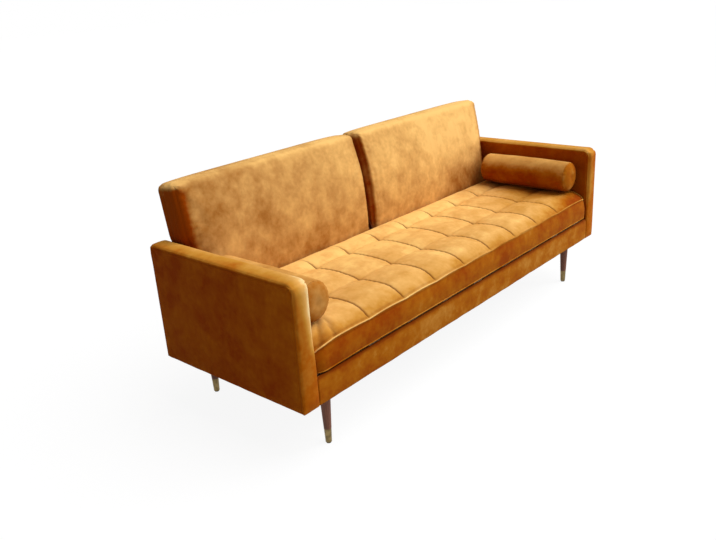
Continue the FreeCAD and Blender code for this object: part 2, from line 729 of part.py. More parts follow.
def tufted_seat():
    """Seat form: row arcs seen from the side and column arcs seen from the front, kept where both hold."""
    low, crest = seat_bottom.value, m.seat_crest.value
    face, rear, half = seat_front.value, seat_rear.value, seat_half.value
    edge_top, bulge = m.seat_edge_top.value, m.seat_bulge.value
    piping = face + m.seat_roll.value
    turn, past = m.seat_corner.value, m.seat_corner.value / 2
    valley = m.row_valley.value
    stitch = front.value + m.tuft_front.value
    stops = [piping, stitch, stitch + m.tuft_row.value, rear]
    rear_top = m.seat_rear_top.value
    heights = [edge_top, valley, valley, rear_top]
    rise = crest - valley
    tops = [crest - rise * 0.2, crest, crest - rise * 0.4]
    x = -half - past
    rows = []
    for index in range(3):
        middle = (stops[index] + stops[index + 1]) / 2
        rows.append(arc((x, stops[index], heights[index]), (x, middle, tops[index]),
                        (x, stops[index + 1], heights[index + 1])))
    rows.append(line((x, rear, rear_top), (x, rear, low)))
    rows.append(line((x, rear, low), (x, face + bulge, low)))
    rows.append(arc((x, face + bulge, low), (x, face, (low + edge_top) / 2), (x, piping, edge_top)))
    across = face_of(rows).extrude(Vector(-2 * x, 0, 0))

    columns = int(m.tuft_columns.value)
    lines = [(index - columns / 2) * m.tuft_pitch.value for index in range(1, columns)]
    marks = [-half] + lines + [half]
    seam, end_top = m.column_valley.value, m.seat_end_top.value
    levels = [end_top] + [seam] * len(lines) + [end_top]
    top = crest + (crest - seam) * 0.6
    y, floor = face - past, low - past
    edges = []
    for index in range(columns):
        start, end = marks[index], marks[index + 1]
        edges.append(arc((start, y, levels[index]), ((start + end) / 2, y, top), (end, y, levels[index + 1])))
    edges.append(line((half, y, end_top), (-x, y, end_top)))
    edges.append(line((-x, y, end_top), (-x, y, floor)))
    edges.append(line((-x, y, floor), (x, y, floor)))
    edges.append(line((x, y, floor), (x, y, end_top)))
    edges.append(line((x, y, end_top), (-half, y, end_top)))
    along = face_of(edges).extrude(Vector(0, rear - face + 2 * past, 0))

    near, far = face - m.seat_setback.value / 2, rear + past
    form = across.common(along).common(round_fronted(half, near, far, turn, floor, crest + past))
    fill_front, fill_rear = fill_y[0].value, fill_y[1].value
    hollow = round_fronted(fill_x[1].value, fill_front, fill_rear, fill_turn.value, floor, fill_top.value)
    return form.cut(hollow).Solids[0]


node("seat_cover", soft("seat_cover", tufted_seat()))

# backs, drawn upright from the hinge line and leaned as one
inside_low = m.back_low_corner - m.back_nose + m.back_rim
inside_high = m.back_height - m.back_rear_corner - m.back_rim
inside_front = m.back_front_wall - m.back_nose
frame_front = inside_front + m.back_filling
panel_front = back_rear - m.back_closing


def crowned_back(low_x, high_x):
    """Back form: crowned side outline and an end-rounded plan, hollow and open to the rear."""
    nose, rear, top = m.back_nose.value, back_rear.value, m.back_height.value
    crown, edge = m.back_crown.value, m.back_top_edge.value
    corner, low_corner = m.back_rear_corner.value, m.back_low_corner.value
    turn, past = m.back_side_round.value, m.back_side_round.value / 2
    near = math.sqrt(0.5)
    x = low_x - past
    side = [
        arc((x, -nose, 0), (x, -nose * near, -nose * near), (x, 0, -nose)),
        line((x, 0, -nose), (x, rear - low_corner, -nose)),
        arc((x, rear - low_corner, -nose),
            (x, rear - low_corner * QUARTER_BOW, -nose + low_corner * QUARTER_BOW),
            (x, rear, -nose + low_corner)),
        line((x, rear, -nose + low_corner), (x, rear, top - corner)),
        arc((x, rear, top - corner), (x, rear - corner * QUARTER_BOW, top - corner * QUARTER_BOW),
            (x, rear - corner, top)),
        line((x, rear - corner, top), (x, edge - nose, top)),
        arc((x, edge - nose, top), (x, edge * QUARTER_BOW - nose, top - edge * QUARTER_BOW),
            (x, -nose, top - edge)),
        arc((x, -nose, top - edge), (x, -nose - crown, (top - edge) / 2), (x, -nose, 0)),
    ]
    slab = face_of(side).extrude(Vector(high_x - low_x + 2 * past, 0, 0))
    face, far, floor = -nose - crown - past / 20, rear + past, -nose - past
    step = turn * QUARTER_BOW
    plan = [
        line((low_x, far, floor), (high_x, far, floor)),
        line((high_x, far, floor), (high_x, face + turn, floor)),
        arc((high_x, face + turn, floor), (high_x - step, face + step, floor), (high_x - turn, face, floor)),
        line((high_x - turn, face, floor), (low_x + turn, face, floor)),
        arc((low_x + turn, face, floor), (low_x + step, face + step, floor), (low_x, face + turn, floor)),
        line((low_x, face + turn, floor), (low_x, far, floor)),
    ]
    form = slab.common(face_of(plan).extrude(Vector(0, 0, top + nose + 2 * past)))
    wall = m.back_wall.value
    hollow = Part.makeBox(high_x - low_x - 2 * wall, far - inside_front.value,
                          inside_high.value - inside_low.value,
                          Vector(low_x + wall, inside_front.value, inside_low.value))
    return form.cut(hollow)


screw_slant = m.arm_slant
for side, sign in (("left", -1), ("right", 1)):
    outer_x = sided(sign, back_inner, back_outer)
    inside_x = (outer_x[0] + m.back_wall, outer_x[1] - m.back_wall)
    screws, bores = [], []
    for end, face, head_out in (("outer", outer_arm_face, True), ("inner", inner_arm_face, False)):
        for spot, reach in (("low", m.arm_screw_low), ("high", m.arm_screw_high)):
            deep = reach * sine(screw_slant)
            up = reach * cosine(screw_slant)
            if head_out:
                span = sided(sign, face - m.arm_screw_length, face)
                bore_span = sided(sign, face - m.arm_screw_length, back_outer)
            else:
                span = sided(sign, face, face + m.arm_screw_length)
                bore_span = sided(sign, back_inner, face + m.arm_screw_length)
            high = head_out == (sign > 0)
            tag = f"{side}_{end}_{spot}"
            screws.append(screw(f"{tag}_screw", span, m.arm_screw_radius * 2, m.arm_screw_radius,
                                deep, up, high))
            bores.append(cross_rod(f"{tag}_bore", m.arm_screw_radius + m.fit_clearance, bore_span, deep, up))
    node(f"{side}_arm_screws", lean(group(f"{side}_arm_screws", screws)))

    stile = m.back_stile
    frame_depth = (frame_front, panel_front)
    upright = (inside_low, inside_high)
    between = (inside_x[0] + stile, inside_x[1] - stile)
    timbers = [
        board(f"{side}_stile_low", (inside_x[0], between[0]), frame_depth, upright),
        board(f"{side}_stile_high", (between[1], inside_x[1]), frame_depth, upright),
        board(f"{side}_back_low_rail", between, frame_depth, (inside_low, inside_low + stile)),
        board(f"{side}_back_top_rail", between, frame_depth, (inside_high - stile, inside_high)),
    ]
    total = int(m.back_slat_count.value)
    room = between[1] - between[0]
    for index in range(total):
        middle = between[0] + room * ((index + 1) / (total + 1))
        slat_x = (middle - m.back_slat_width / 2, middle + m.back_slat_width / 2)
        timbers.append(board(f"{side}_back_slat_{index}", slat_x,
                             (frame_front, frame_front + m.back_slat_thickness),
                             (inside_low + stile, inside_high - stile)))
    timber = group(f"{side}_back_timber", timbers)
    node(f"{side}_back_frame", lean(carve(f"{side}_back_frame", timber, bores)))
    filling = board(f"{side}_filling", inside_x, (inside_front, frame_front), upright)
    node(f"{side}_back_foam", lean(group(f"{side}_back_foam", [filling])))
    closing = board(f"{side}_closing", inside_x, (panel_front, back_rear), upright)
    node(f"{side}_back_panel", lean(group(f"{side}_back_panel", [closing])))
    form = soft(f"{side}_back_form", crowned_back(outer_x[0].value, outer_x[1].value))
    node(f"{side}_back_cover", lean(carve(f"{side}_back_cover", form, bores)))

    # hinge arms lean a little more than the back so that their screws meet the stiles
    half = m.arm_half_width
    arm_bow = half * QUARTER_BOW
    arm_plate = [
        (half, 0, arm_bow),
        (half, m.arm_reach),
        (0, m.arm_reach + half, arm_bow),
        (-half, m.arm_reach, arm_bow),
        (-half, 0),
        (0, -half, arm_bow),
    ]
    screw_hole = m.arm_screw_radius + m.fit_clearance
    holes = [
        (0, 0, m.hinge_pin_radius + m.pin_clearance),
        (0, m.arm_screw_low, screw_hole),
        (0, m.arm_screw_high, screw_hole),
    ]
    catch_up = m.quadrant_radius + m.catch_lift + m.catch_radius
    pin_hole = (m.pawl_reach, catch_up, m.pawl_pin_radius + m.pin_clearance)
    arm_lean = m.back_recline + m.arm_slant
    outer_arm_x = sided(sign, back_outer, outer_arm_face)
    inner_arm_x = sided(sign, inner_arm_face, back_inner)
    for end, span, extra in (("outer", outer_arm_x, [pin_hole]), ("inner", inner_arm_x, [])):
        plate = extruded(f"{side}_{end}_hinge_arm", arm_plate, m.hinge_plate, holes + extra)
        node(f"{side}_{end}_hinge_arm", lean(plate, arm_lean, span[0]))

    # pawl on its pin, drawn along the hinge arm
    pawl_x = sided(sign, bracket_inner, bracket_outer)
    pin_x = sided(sign, back_outer, bracket_outer)
    pin = cross_rod(f"{side}_pawl_rod", m.pawl_pin_radius, pin_x, m.pawl_reach, catch_up)
    node(f"{side}_pawl_pin", lean(group(f"{side}_pawl_pin", [pin]), arm_lean))
    bar_low = catch_up + m.pawl_hub / 5
    bar_high = bar_low + m.pawl_bar
    nose_y = (-m.catch_radius, m.catch_radius)
    pawl_parts = [
        cross_rod(f"{side}_pawl_hub", m.pawl_hub, pawl_x, m.pawl_reach, catch_up),
        cross_rod(f"{side}_pawl_nose", m.catch_radius, pawl_x, 0, catch_up),
        board(f"{side}_pawl_neck", pawl_x, nose_y, (catch_up, bar_high)),
        board(f"{side}_pawl_bar", pawl_x, (-m.catch_radius, m.pawl_reach), (bar_low, bar_high)),
    ]
    pawl_hole = cross_rod(f"{side}_pawl_bore", m.pawl_pin_radius + m.pin_clearance, pawl_x,
                          m.pawl_reach, catch_up)
    pawl = carve(f"{side}_pawl", join(f"{side}_pawl_blank", pawl_parts), [pawl_hole])
    node(f"{side}_pawl", lean(pawl, arm_lean))

# brackets that stand on the base and hold the hinge line
foot_y = (pivot_y - m.hinge_boss, pivot_y - m.hinge_boss + m.bracket_foot)
foot_z = (m.rail_top, m.rail_top + m.hinge_plate)
boss_y = (pivot_y - m.hinge_boss, pivot_y + m.hinge_boss)
stops = (-m.back_forward, as_size(0), m.back_lower / 2, m.back_lower)
bracket_screws = []


def foot_screws(tag, x):
    """Two screws down through a bracket foot; returns their bores."""
    foot_bores = []
    for index, share in enumerate((0.45, 0.85)):
        y = foot_y[0] + m.bracket_foot * share
        radius = m.bracket_screw_radius
        shank = rod(f"{tag}_shank_{index}", radius, m.bracket_screw_length, x, y,
                    foot_z[1] - m.bracket_screw_length)
        head = rod(f"{tag}_cap_{index}", radius * 2, radius, x, y, foot_z[1])
        bracket_screws.append(join(f"{tag}_screw_{index}", [head, shank]))
        foot_bores.append(rod(f"{tag}_drill_{index}", radius + m.fit_clearance, m.bracket_screw_length,
                              x, y, foot_z[1] - m.bracket_screw_length))
    return foot_bores


for side, sign in (("left", -1), ("right", 1)):
    plate_x = sided(sign, bracket_inner, bracket_outer)
    foot_x = sided(sign, end_rail_inner, bracket_outer)
    foot_middle = (end_rail_inner + bracket_inner) / 2 * sign
    foot_bores = foot_screws(f"{side}_foot", foot_middle)
    post = board(f"{side}_bracket_post", plate_x, boss_y, (m.rail_top, pivot_z))
    boss = cross_rod(f"{side}_bracket_boss", m.hinge_boss, plate_x, pivot_y, pivot_z)
    foot = board(f"{side}_bracket_foot", foot_x, foot_y, foot_z)
    last = arm_lean.value + m.back_lower.value + m.quadrant_margin.value
    quadrant = cross_rod(f"{side}_quadrant", m.quadrant_radius, plate_x, pivot_y, pivot_z)
    quadrant.Placement = Placement(quadrant.Placement.Base, Rotation(Vector(1, 0, 0), 180 - last) * ALONG_X)
    sweep = m.back_forward + m.back_lower + m.quadrant_margin * 2
    bind(quadrant, {"Angle": sweep})
    hole = cross_rod(f"{side}_bracket_bore", m.hinge_pin_radius + m.pin_clearance, plate_x, pivot_y, pivot_z)
    cuts = [hole] + foot_bores
    for index, stop in enumerate(stops):
        angle = arm_lean + stop
        notch_y = pivot_y + m.quadrant_radius * sine(angle)
        notch_z = pivot_z + m.quadrant_radius * cosine(angle)
        cuts.append(cross_rod(f"{side}_notch_{index}", m.notch_radius, plate_x, notch_y, notch_z))
    blank = join(f"{side}_bracket_blank", [post, boss, foot, quadrant])
    node(f"{side}_hinge_bracket", carve(f"{side}_hinge_bracket", blank, cuts))
    pin_x = sided(sign, back_outer, bracket_outer)
    node(f"{side}_hinge_pin", cross_rod(f"{side}_hinge_pin", m.hinge_pin_radius, pin_x, pivot_y, pivot_z))
    end_board, bolt_bores = end_rails[side]
    node(f"{side}_end_rail", carve(f"{side}_end_rail", end_board, bolt_bores + foot_bores))

yoke_bores = foot_screws("yoke", as_size(0))
yoke_half = m.yoke_half
cheeks = []
low_cheek = (-yoke_half, m.hinge_plate - yoke_half)
high_cheek = (yoke_half - m.hinge_plate, yoke_half)
for tag, cheek_x in (("low", low_cheek), ("high", high_cheek)):
    cheeks.append(board(f"cheek_{tag}", cheek_x, boss_y, (m.rail_top, pivot_z)))
    cheeks.append(cross_rod(f"cheek_boss_{tag}", m.hinge_boss, cheek_x, pivot_y, pivot_z))
rail_half = m.centre_rail_width / 2
cheeks.append(board("yoke_foot", (-rail_half, rail_half), foot_y, foot_z))
yoke_bore = m.hinge_pin_radius + m.pin_clearance
yoke_hole = cross_rod("yoke_bore", yoke_bore, (-yoke_half, yoke_half), pivot_y, pivot_z)
yoke = carve("centre_bracket", join("yoke_blank", cheeks), [yoke_hole] + yoke_bores)
node("centre_bracket", yoke)
node("centre_pin", cross_rod("centre_pin", m.hinge_pin_radius, (-back_inner, back_inner), pivot_y, pivot_z))
centre_board = board("centre_board", (-rail_half, rail_half), (deck_rear, rear_rail_front), rail_z)
node("centre_rail", carve("centre_rail", centre_board, yoke_bores))
node("bracket_screws", group("bracket_screws", bracket_screws))

# bolsters lie on the seat against the arms
length = seat_rear - front - m.bolster_setback - m.bolster_rear_gap
dome, seam = m.bolster_dome, m.bolster_round
end_radius = m.bolster_end_radius
fill_radius = end_radius - seam
round_bow = seam * QUARTER_BOW
swell = m.bolster_radius - end_radius
tube_outline = [
    (fill_radius, dome),
    (end_radius, dome + seam, round_bow),
    (end_radius, length - dome - seam, swell),
    (fill_radius, length - dome, round_bow),
]
cap_outline = [
    (0, dome + m.bolster_cap),
    (0, 0),
    (fill_radius, dome, dome / 5),
    (fill_radius, dome + m.bolster_cap),
]
core_low = dome + m.bolster_cap
core_outline = [
    (0, core_low),
    (fill_radius, core_low),
    (fill_radius, length - core_low),
    (0, length - core_low),
]
bolster_z = m.seat_crest + m.fit_clearance + m.bolster_radius
for side, sign in (("left", -1), ("right", 1)):
    x = (arm_inner - m.fit_clearance - m.bolster_radius) * sign
    start = front + m.bolster_setback
    tube = turned(f"{side}_bolster_tube", tube_outline)
    near_cap = turned(f"{side}_bolster_cap_near", cap_outline)
    far_cap = turned(f"{side}_bolster_cap_far", cap_outline)
    core = turned(f"{side}_bolster_filling", core_outline)
    put(tube, x, start, bolster_z, ALONG_Y)
    put(near_cap, x, start, bolster_z, ALONG_Y)
    put(far_cap, x, start + length, bolster_z, Rotation(Vector(1, 0, 0), 90))
    put(core, x, start, bolster_z, ALONG_Y)
    node(f"{side}_bolster_cover", group(f"{side}_bolster_cover", [tube, near_cap, far_cap]))
    node(f"{side}_bolster_core", group(f"{side}_bolster_core", [core]))

doc.recompute()
faults = []
for thing in doc.Objects:
    if "Invalid" in thing.State or "Error" in thing.State:
        faults.append(f"{thing.Name}: {thing.State}")
for name, thing in nodes.items():
    if thing.Shape.isNull() or not thing.Shape.isValid() or thing.Shape.Volume <= 0:
        faults.append(f"{name}: bad shape")
if faults:
    raise RuntimeError("; ".join(faults))

os.makedirs("parts", exist_ok=True)
for name, thing in nodes.items():
    thing.Shape.exportStep(f"parts/{name}.step")
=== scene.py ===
"""Velvet sofa bed: stitched seat, two reclining backs, boxed arms, bolsters and tapered legs."""
import json
import logging
import math
from collections.abc import Callable, Iterator, Sequence
from dataclasses import dataclass
from enum import Enum
from functools import partial

import bpy
import numpy as np
from mathutils import Matrix, Vector, noise


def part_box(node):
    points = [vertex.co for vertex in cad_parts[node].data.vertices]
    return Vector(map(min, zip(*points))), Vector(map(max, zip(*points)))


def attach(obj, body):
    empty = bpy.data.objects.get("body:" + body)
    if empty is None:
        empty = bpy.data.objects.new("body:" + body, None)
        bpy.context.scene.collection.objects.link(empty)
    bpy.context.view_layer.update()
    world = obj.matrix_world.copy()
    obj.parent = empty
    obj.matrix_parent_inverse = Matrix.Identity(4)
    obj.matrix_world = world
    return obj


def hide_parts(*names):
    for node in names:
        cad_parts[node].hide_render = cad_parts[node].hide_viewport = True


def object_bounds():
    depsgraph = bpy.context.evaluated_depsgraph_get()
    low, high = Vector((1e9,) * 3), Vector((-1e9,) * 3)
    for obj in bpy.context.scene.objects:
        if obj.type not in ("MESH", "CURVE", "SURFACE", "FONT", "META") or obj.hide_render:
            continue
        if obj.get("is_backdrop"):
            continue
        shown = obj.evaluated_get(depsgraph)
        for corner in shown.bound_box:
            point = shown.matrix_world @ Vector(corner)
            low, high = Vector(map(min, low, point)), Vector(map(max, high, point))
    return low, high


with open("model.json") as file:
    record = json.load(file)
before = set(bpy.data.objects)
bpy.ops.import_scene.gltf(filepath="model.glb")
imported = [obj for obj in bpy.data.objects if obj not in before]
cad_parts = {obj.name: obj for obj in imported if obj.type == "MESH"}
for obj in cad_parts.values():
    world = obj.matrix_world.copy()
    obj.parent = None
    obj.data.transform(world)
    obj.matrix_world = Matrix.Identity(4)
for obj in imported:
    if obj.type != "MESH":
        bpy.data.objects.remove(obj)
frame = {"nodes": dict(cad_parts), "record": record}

CAD_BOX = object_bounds()
LOG = logging.getLogger("sofa_bed")
# Metres within which a point counts as lying on a face
HAIR = 1e-4
# The least length that anything is divided by
TINY = 1e-9
# Steps of the filling's simulation
FILLING_STEPS = 20
Points = np.ndarray
Rule = Callable[[Points], Points]
Triple = tuple[float, float, float]
Piece = bpy.types.Object
Finish = bpy.types.Material


class Side(Enum):
    """The two ends of the sofa, as seen from the front."""

    LEFT = "left"
    RIGHT = "right"


class Slot(Enum):
    """The material slots of the part's record."""

    VELVET = "velvet"
    FELT = "felt"
    DUST_CLOTH = "dust_cloth"
    FRAME_TIMBER = "frame_timber"
    LEG_WOOD = "leg_wood"
    BRASS = "brass"
    NYLON = "nylon"
    STEEL = "steel"


class NapAndLight(float, Enum):
    """Tone levels of the velvet's pile, set mostly by painted light: lit tops, mid fronts, shaded
    sides.
    """

    DEEP = 0.06
    DULL = 0.15
    FACE = 0.29
    OPEN = 0.66
    GOLD = 0.96
    # Painted highlight on lit edges and piping, with some rub of the pile
    RUBBED = 1.08


@dataclass
class Signal:
    """A number that changes over a surface: a shader socket with arithmetic."""

    recipe: "Recipe"
    socket: bpy.types.NodeSocket | None

    def join(self, operation: str, first: "Signal | float", second: "Signal | float") -> "Signal":
        """Adds a Math node for one operation on two numbers or signals."""
        return self.recipe.node("ShaderNodeMath", {"operation": operation}, {0: first, 1: second})

    def __add__(self, other: "Signal | float") -> "Signal":
        """The sum with a number or a signal."""
        return self.join("ADD", self, other)

    def __sub__(self, other: "Signal | float") -> "Signal":
        """What is left after taking away a number or a signal."""
        return self.join("SUBTRACT", self, other)

    def __rsub__(self, other: float) -> "Signal":
        """A number less this signal."""
        return self.join("SUBTRACT", other, self)

    def __mul__(self, other: "Signal | float") -> "Signal":
        """The product with a number or a signal."""
        return self.join("MULTIPLY", self, other)

    __radd__ = __add__

    def limit(self, low: float = 0.0, high: float = 1.0) -> "Signal":
        """The signal kept between two numbers."""
        return self.recipe.node("ShaderNodeClamp", {}, {0: self, 1: low, 2: high})


class Recipe:
    """The node tree of a material or of the world, with a single way to add a node."""

    def __init__(self, owner: Finish | bpy.types.World) -> None:
        """Starts from an empty tree.

        Args:
            owner: the material or the world that the tree belongs to.
        """
        owner.use_nodes = True
        self.owner = owner
        self.tree = owner.node_tree
        self.tree.nodes.clear()

    def node(
        self,
        kind: str,
        settings: dict | None = None,
        inputs: dict | None = None,
        output: int | str = 0,
    ) -> Signal:
        """Adds a node, sets it up and fills its sockets.

        Args:
            kind: the node's type name.
            settings: attributes set first; "stops" is a colour ramp's positions and colours.
            inputs: numbers, colours or signals, by socket name or index.
            output: the socket that the answer reads.

        Returns:
            The chosen output as a signal.
        """
        made = self.tree.nodes.new(kind)
        for key, value in (settings or {}).items():
            if key == "stops":
                ramp = made.color_ramp.elements
                for index, (position, colour) in enumerate(value):
                    stop = ramp[index] if index < len(ramp) else ramp.new(position)
                    stop.position = position
                    stop.color = (*colour, 1.0)
            else:
                setattr(made, key, value)
        for key, value in (inputs or {}).items():
            if isinstance(value, Signal):
                self.tree.links.new(value.socket, made.inputs[key])
            else:
                made.inputs[key].default_value = value
        return Signal(self, made.outputs[output] if made.outputs else None)

    def place(self, stretch: Triple = (1.0, 1.0, 1.0)) -> Signal:
        """Object coordinates, stretched for a pattern."""
        where = self.node("ShaderNodeTexCoord", output="Object")
        return self.node("ShaderNodeMapping", {}, {"Vector": where, "Scale": stretch})

    def clouds(self, where: Signal, scale: float, detail: float = 3.0, warp: float = 0.0) -> Signal:
        """Soft noise about nought, so many clouds to the metre."""
        inputs = {"Vector": where, "Scale": scale, "Detail": detail, "Distortion": warp}
        return self.node("ShaderNodeTexNoise", {}, inputs) - 0.5

    def layered(self, layers: Sequence[Signal], shares: Sequence[float]) -> Signal:
        """The layers added up, each by its share.

        Args:
            layers: the signals to add up.
            shares: how much of each goes in.

        Returns:
            Their sum.
        """
        total, *others = [layer * share for layer, share in zip(layers, shares)]
        for layer in others:
            total = total + layer
        return total

    def reading(self, name: str) -> Signal:
        """A number that the mesh holds for each point."""
        return self.node("ShaderNodeAttribute", {"attribute_name": name}, {}, "Fac")

    def ramp(self, level: Signal, stops: Sequence[tuple[float, Triple]]) -> Signal:
        """The colour at a level between the ramp's stops."""
        return self.node("ShaderNodeValToRGB", {"stops": stops}, {0: level})

    def mixed(self, share: Signal, first: Signal | tuple, second: Signal | tuple) -> Signal:
        """One colour turning into another as the share goes from 0 to 1."""
        return self.node("ShaderNodeMix", {"data_type": "RGBA"}, {0: share, 6: first, 7: second}, 2)

    def bump(self, height: Signal, depth: float, strength: float) -> Signal:
        """A bumped normal from a height, of so many metres."""
        inputs = {"Height": height, "Distance": depth, "Strength": strength}
        return self.node("ShaderNodeBump", {}, inputs)

    def surface(self, **inputs: object) -> Finish:
        """Closes the tree with a surface shader whose sockets are named with underscores.

        Args:
            **inputs: numbers, colours or signals, by socket name.

        Returns:
            The finished material.
        """
        sockets = {key.replace("_", " "): value for key, value in inputs.items()}
        shader = self.node("ShaderNodeBsdfPrincipled", {}, sockets)
        self.node("ShaderNodeOutputMaterial", {}, {"Surface": shader})
        return self.owner


@dataclass(frozen=True)
class Velvet:
    """Crushed velvet, mottled and brushed, with painted shade in its seams and painted light and
    shade over its faces and edges.
    """

    name: str
    stroke: Triple
    contrast: float
    deep: Triple = (0.31, 0.052, 0.001)
    rust: Triple = (0.43, 0.126, 0.004)
    ochre: Triple = (0.61, 0.284, 0.066)
    gold: Triple = (0.83, 0.445, 0.122)
    # Top stop of the ramp: rubbed pile and painted highlights on lit edges
    wear_and_highlight: Triple = (0.86, 0.47, 0.14)
    levels: tuple = (0.0, 0.24, 0.5, 0.8, 0.95)
    # Colour of the painted shade in seams, creases and under overhangs
    seam: Triple = (0.12, 0.018, 0.0005)
    gloss: Triple = (1.0, 0.6, 0.2)
    sheen: Triple = (1.0, 0.58, 0.16)
    patches: float = 4.5
    blotches: float = 16.0
    flecks: float = 62.0
    pile: float = 420.0
    tone_shares: tuple = (0.5, 0.5, 0.21, 0.13)
    relief_shares: tuple = (0.35, 0.3, 0.4, 0.5)
    relief: float = 0.0016

    def make(self) -> Finish:
        """Builds the material: tone from the painted light attribute and the mottling, bump from
        the pile.

        Returns:
            The new material.
        """
        recipe = Recipe(bpy.data.materials.new(self.name))
        plain = recipe.place()
        patch = recipe.clouds(plain, self.patches, 4.0, 0.3)
        blotch = recipe.clouds(plain, self.blotches, 3.0, 0.25)
        fleck = recipe.clouds(plain, self.flecks, 3.0, 0.2)
        strokes = recipe.clouds(recipe.place(self.stroke), 1.0)
        pile = recipe.clouds(plain, self.pile, 2.0)
        mottle = recipe.layered((patch, blotch, fleck, strokes), self.tone_shares)
        height = recipe.layered((pile, strokes, fleck, blotch), self.relief_shares)
        # The mesh attribute holds painted light and shade for each point, over the pile's own tone
        level = (recipe.reading("nap") + mottle * self.contrast).limit(0.0, 1.2) * 0.8
        colours = (self.deep, self.rust, self.ochre, self.gold, self.wear_and_highlight)
        tone = recipe.ramp(level, tuple(zip(self.levels, colours)))
        # Painted shade in seams, creases and under overhangs
        crease = recipe.reading("crease").limit()
        return recipe.surface(
            Base_Color=recipe.mixed(crease, tone, (*self.seam, 1.0)),
            Roughness=(0.86 - level * 0.22).limit(0.5, 0.95),
            Normal=recipe.bump(height, self.relief, 0.45),
            Specular_IOR_Level=0.06,
            Specular_Tint=(*self.gloss, 1.0),
            Sheen_Weight=0.15,
            Sheen_Roughness=0.35,
            Sheen_Tint=(*self.sheen, 1.0),
        )


@dataclass(frozen=True)
class Timber:
    """Bare wood with long grain, pores and slow shifts of colour."""

    name: str
    grain: Triple
    dark: Triple
    light: Triple
    roughness: float

    def make(self) -> Finish:
        """Builds the material: rings and pores drawn out along the grain.

        Returns:
            The new material.
        """
        recipe = Recipe(bpy.data.materials.new(self.name))
        along = recipe.place(self.grain)
        figure = recipe.clouds(along, 1.0, 4.0, 1.4)
        pores = recipe.clouds(along, 5.0, 2.0)
        drift = recipe.clouds(recipe.place(), 6.0, 2.0)
        level = (0.5 + figure * 1.3 + pores * 0.5 + drift * 0.5).limit()
        return recipe.surface(
            Base_Color=recipe.ramp(level, ((0.1, self.dark), (0.9, self.light))),
            Roughness=(self.roughness + pores * 0.25).limit(0.2, 0.9),
            Normal=recipe.bump(figure * 0.4 + pores, 0.0006, 0.3),
        )


@dataclass(frozen=True)
class Metal:
    """Metal with drawn scratches, faint tarnish and a brighter or darker ground."""

    name: str
    clean: Triple
    tarnished: Triple
    drawn: Triple
    roughness: float
    metallic: float
    gloss: float

    def make(self) -> Finish:
        """Builds the material: tarnish in clouds, scratches along the drawn way.

        Returns:
            The new material.
        """
        recipe = Recipe(bpy.data.materials.new(self.name))
        scratches = recipe.clouds(recipe.place(self.drawn), 1.0)
        tarnish = recipe.clouds(recipe.place(), 55.0, 4.0, 0.5)
        level = (0.5 + tarnish * 1.6 + scratches * 0.5).limit()
        return recipe.surface(
            Base_Color=recipe.ramp(level, ((0.15, self.tarnished), (0.75, self.clean))),
            Roughness=(self.roughness + scratches * 0.3 - tarnish * 0.2).limit(0.12, 0.9),
            Metallic=self.metallic,
            Specular_IOR_Level=self.gloss,
            Normal=recipe.bump(scratches, 0.0003, 0.25),
        )


@dataclass(frozen=True)
class Fibre:
    """Pressed or spun fibre: speckled, matte and slightly uneven."""

    name: str
    dark: Triple
    light: Triple
    speckle: float
    roughness: float

    def make(self) -> Finish:
        """Builds the material: fine speckle over broad patches.

        Returns:
            The new material.
        """
        recipe = Recipe(bpy.data.materials.new(self.name))
        plain = recipe.place()
        speckle = recipe.clouds(plain, self.speckle, 3.0, 0.4)
        patch = recipe.clouds(plain, 14.0, 2.0)
        level = (0.5 + speckle * 1.5 + patch * 0.6).limit()
        return recipe.surface(
            Base_Color=recipe.ramp(level, ((0.1, self.dark), (0.9, self.light))),
            Roughness=(self.roughness + speckle * 0.2).limit(0.3, 1.0),
            Normal=recipe.bump(speckle, 0.0008, 0.4),
        )


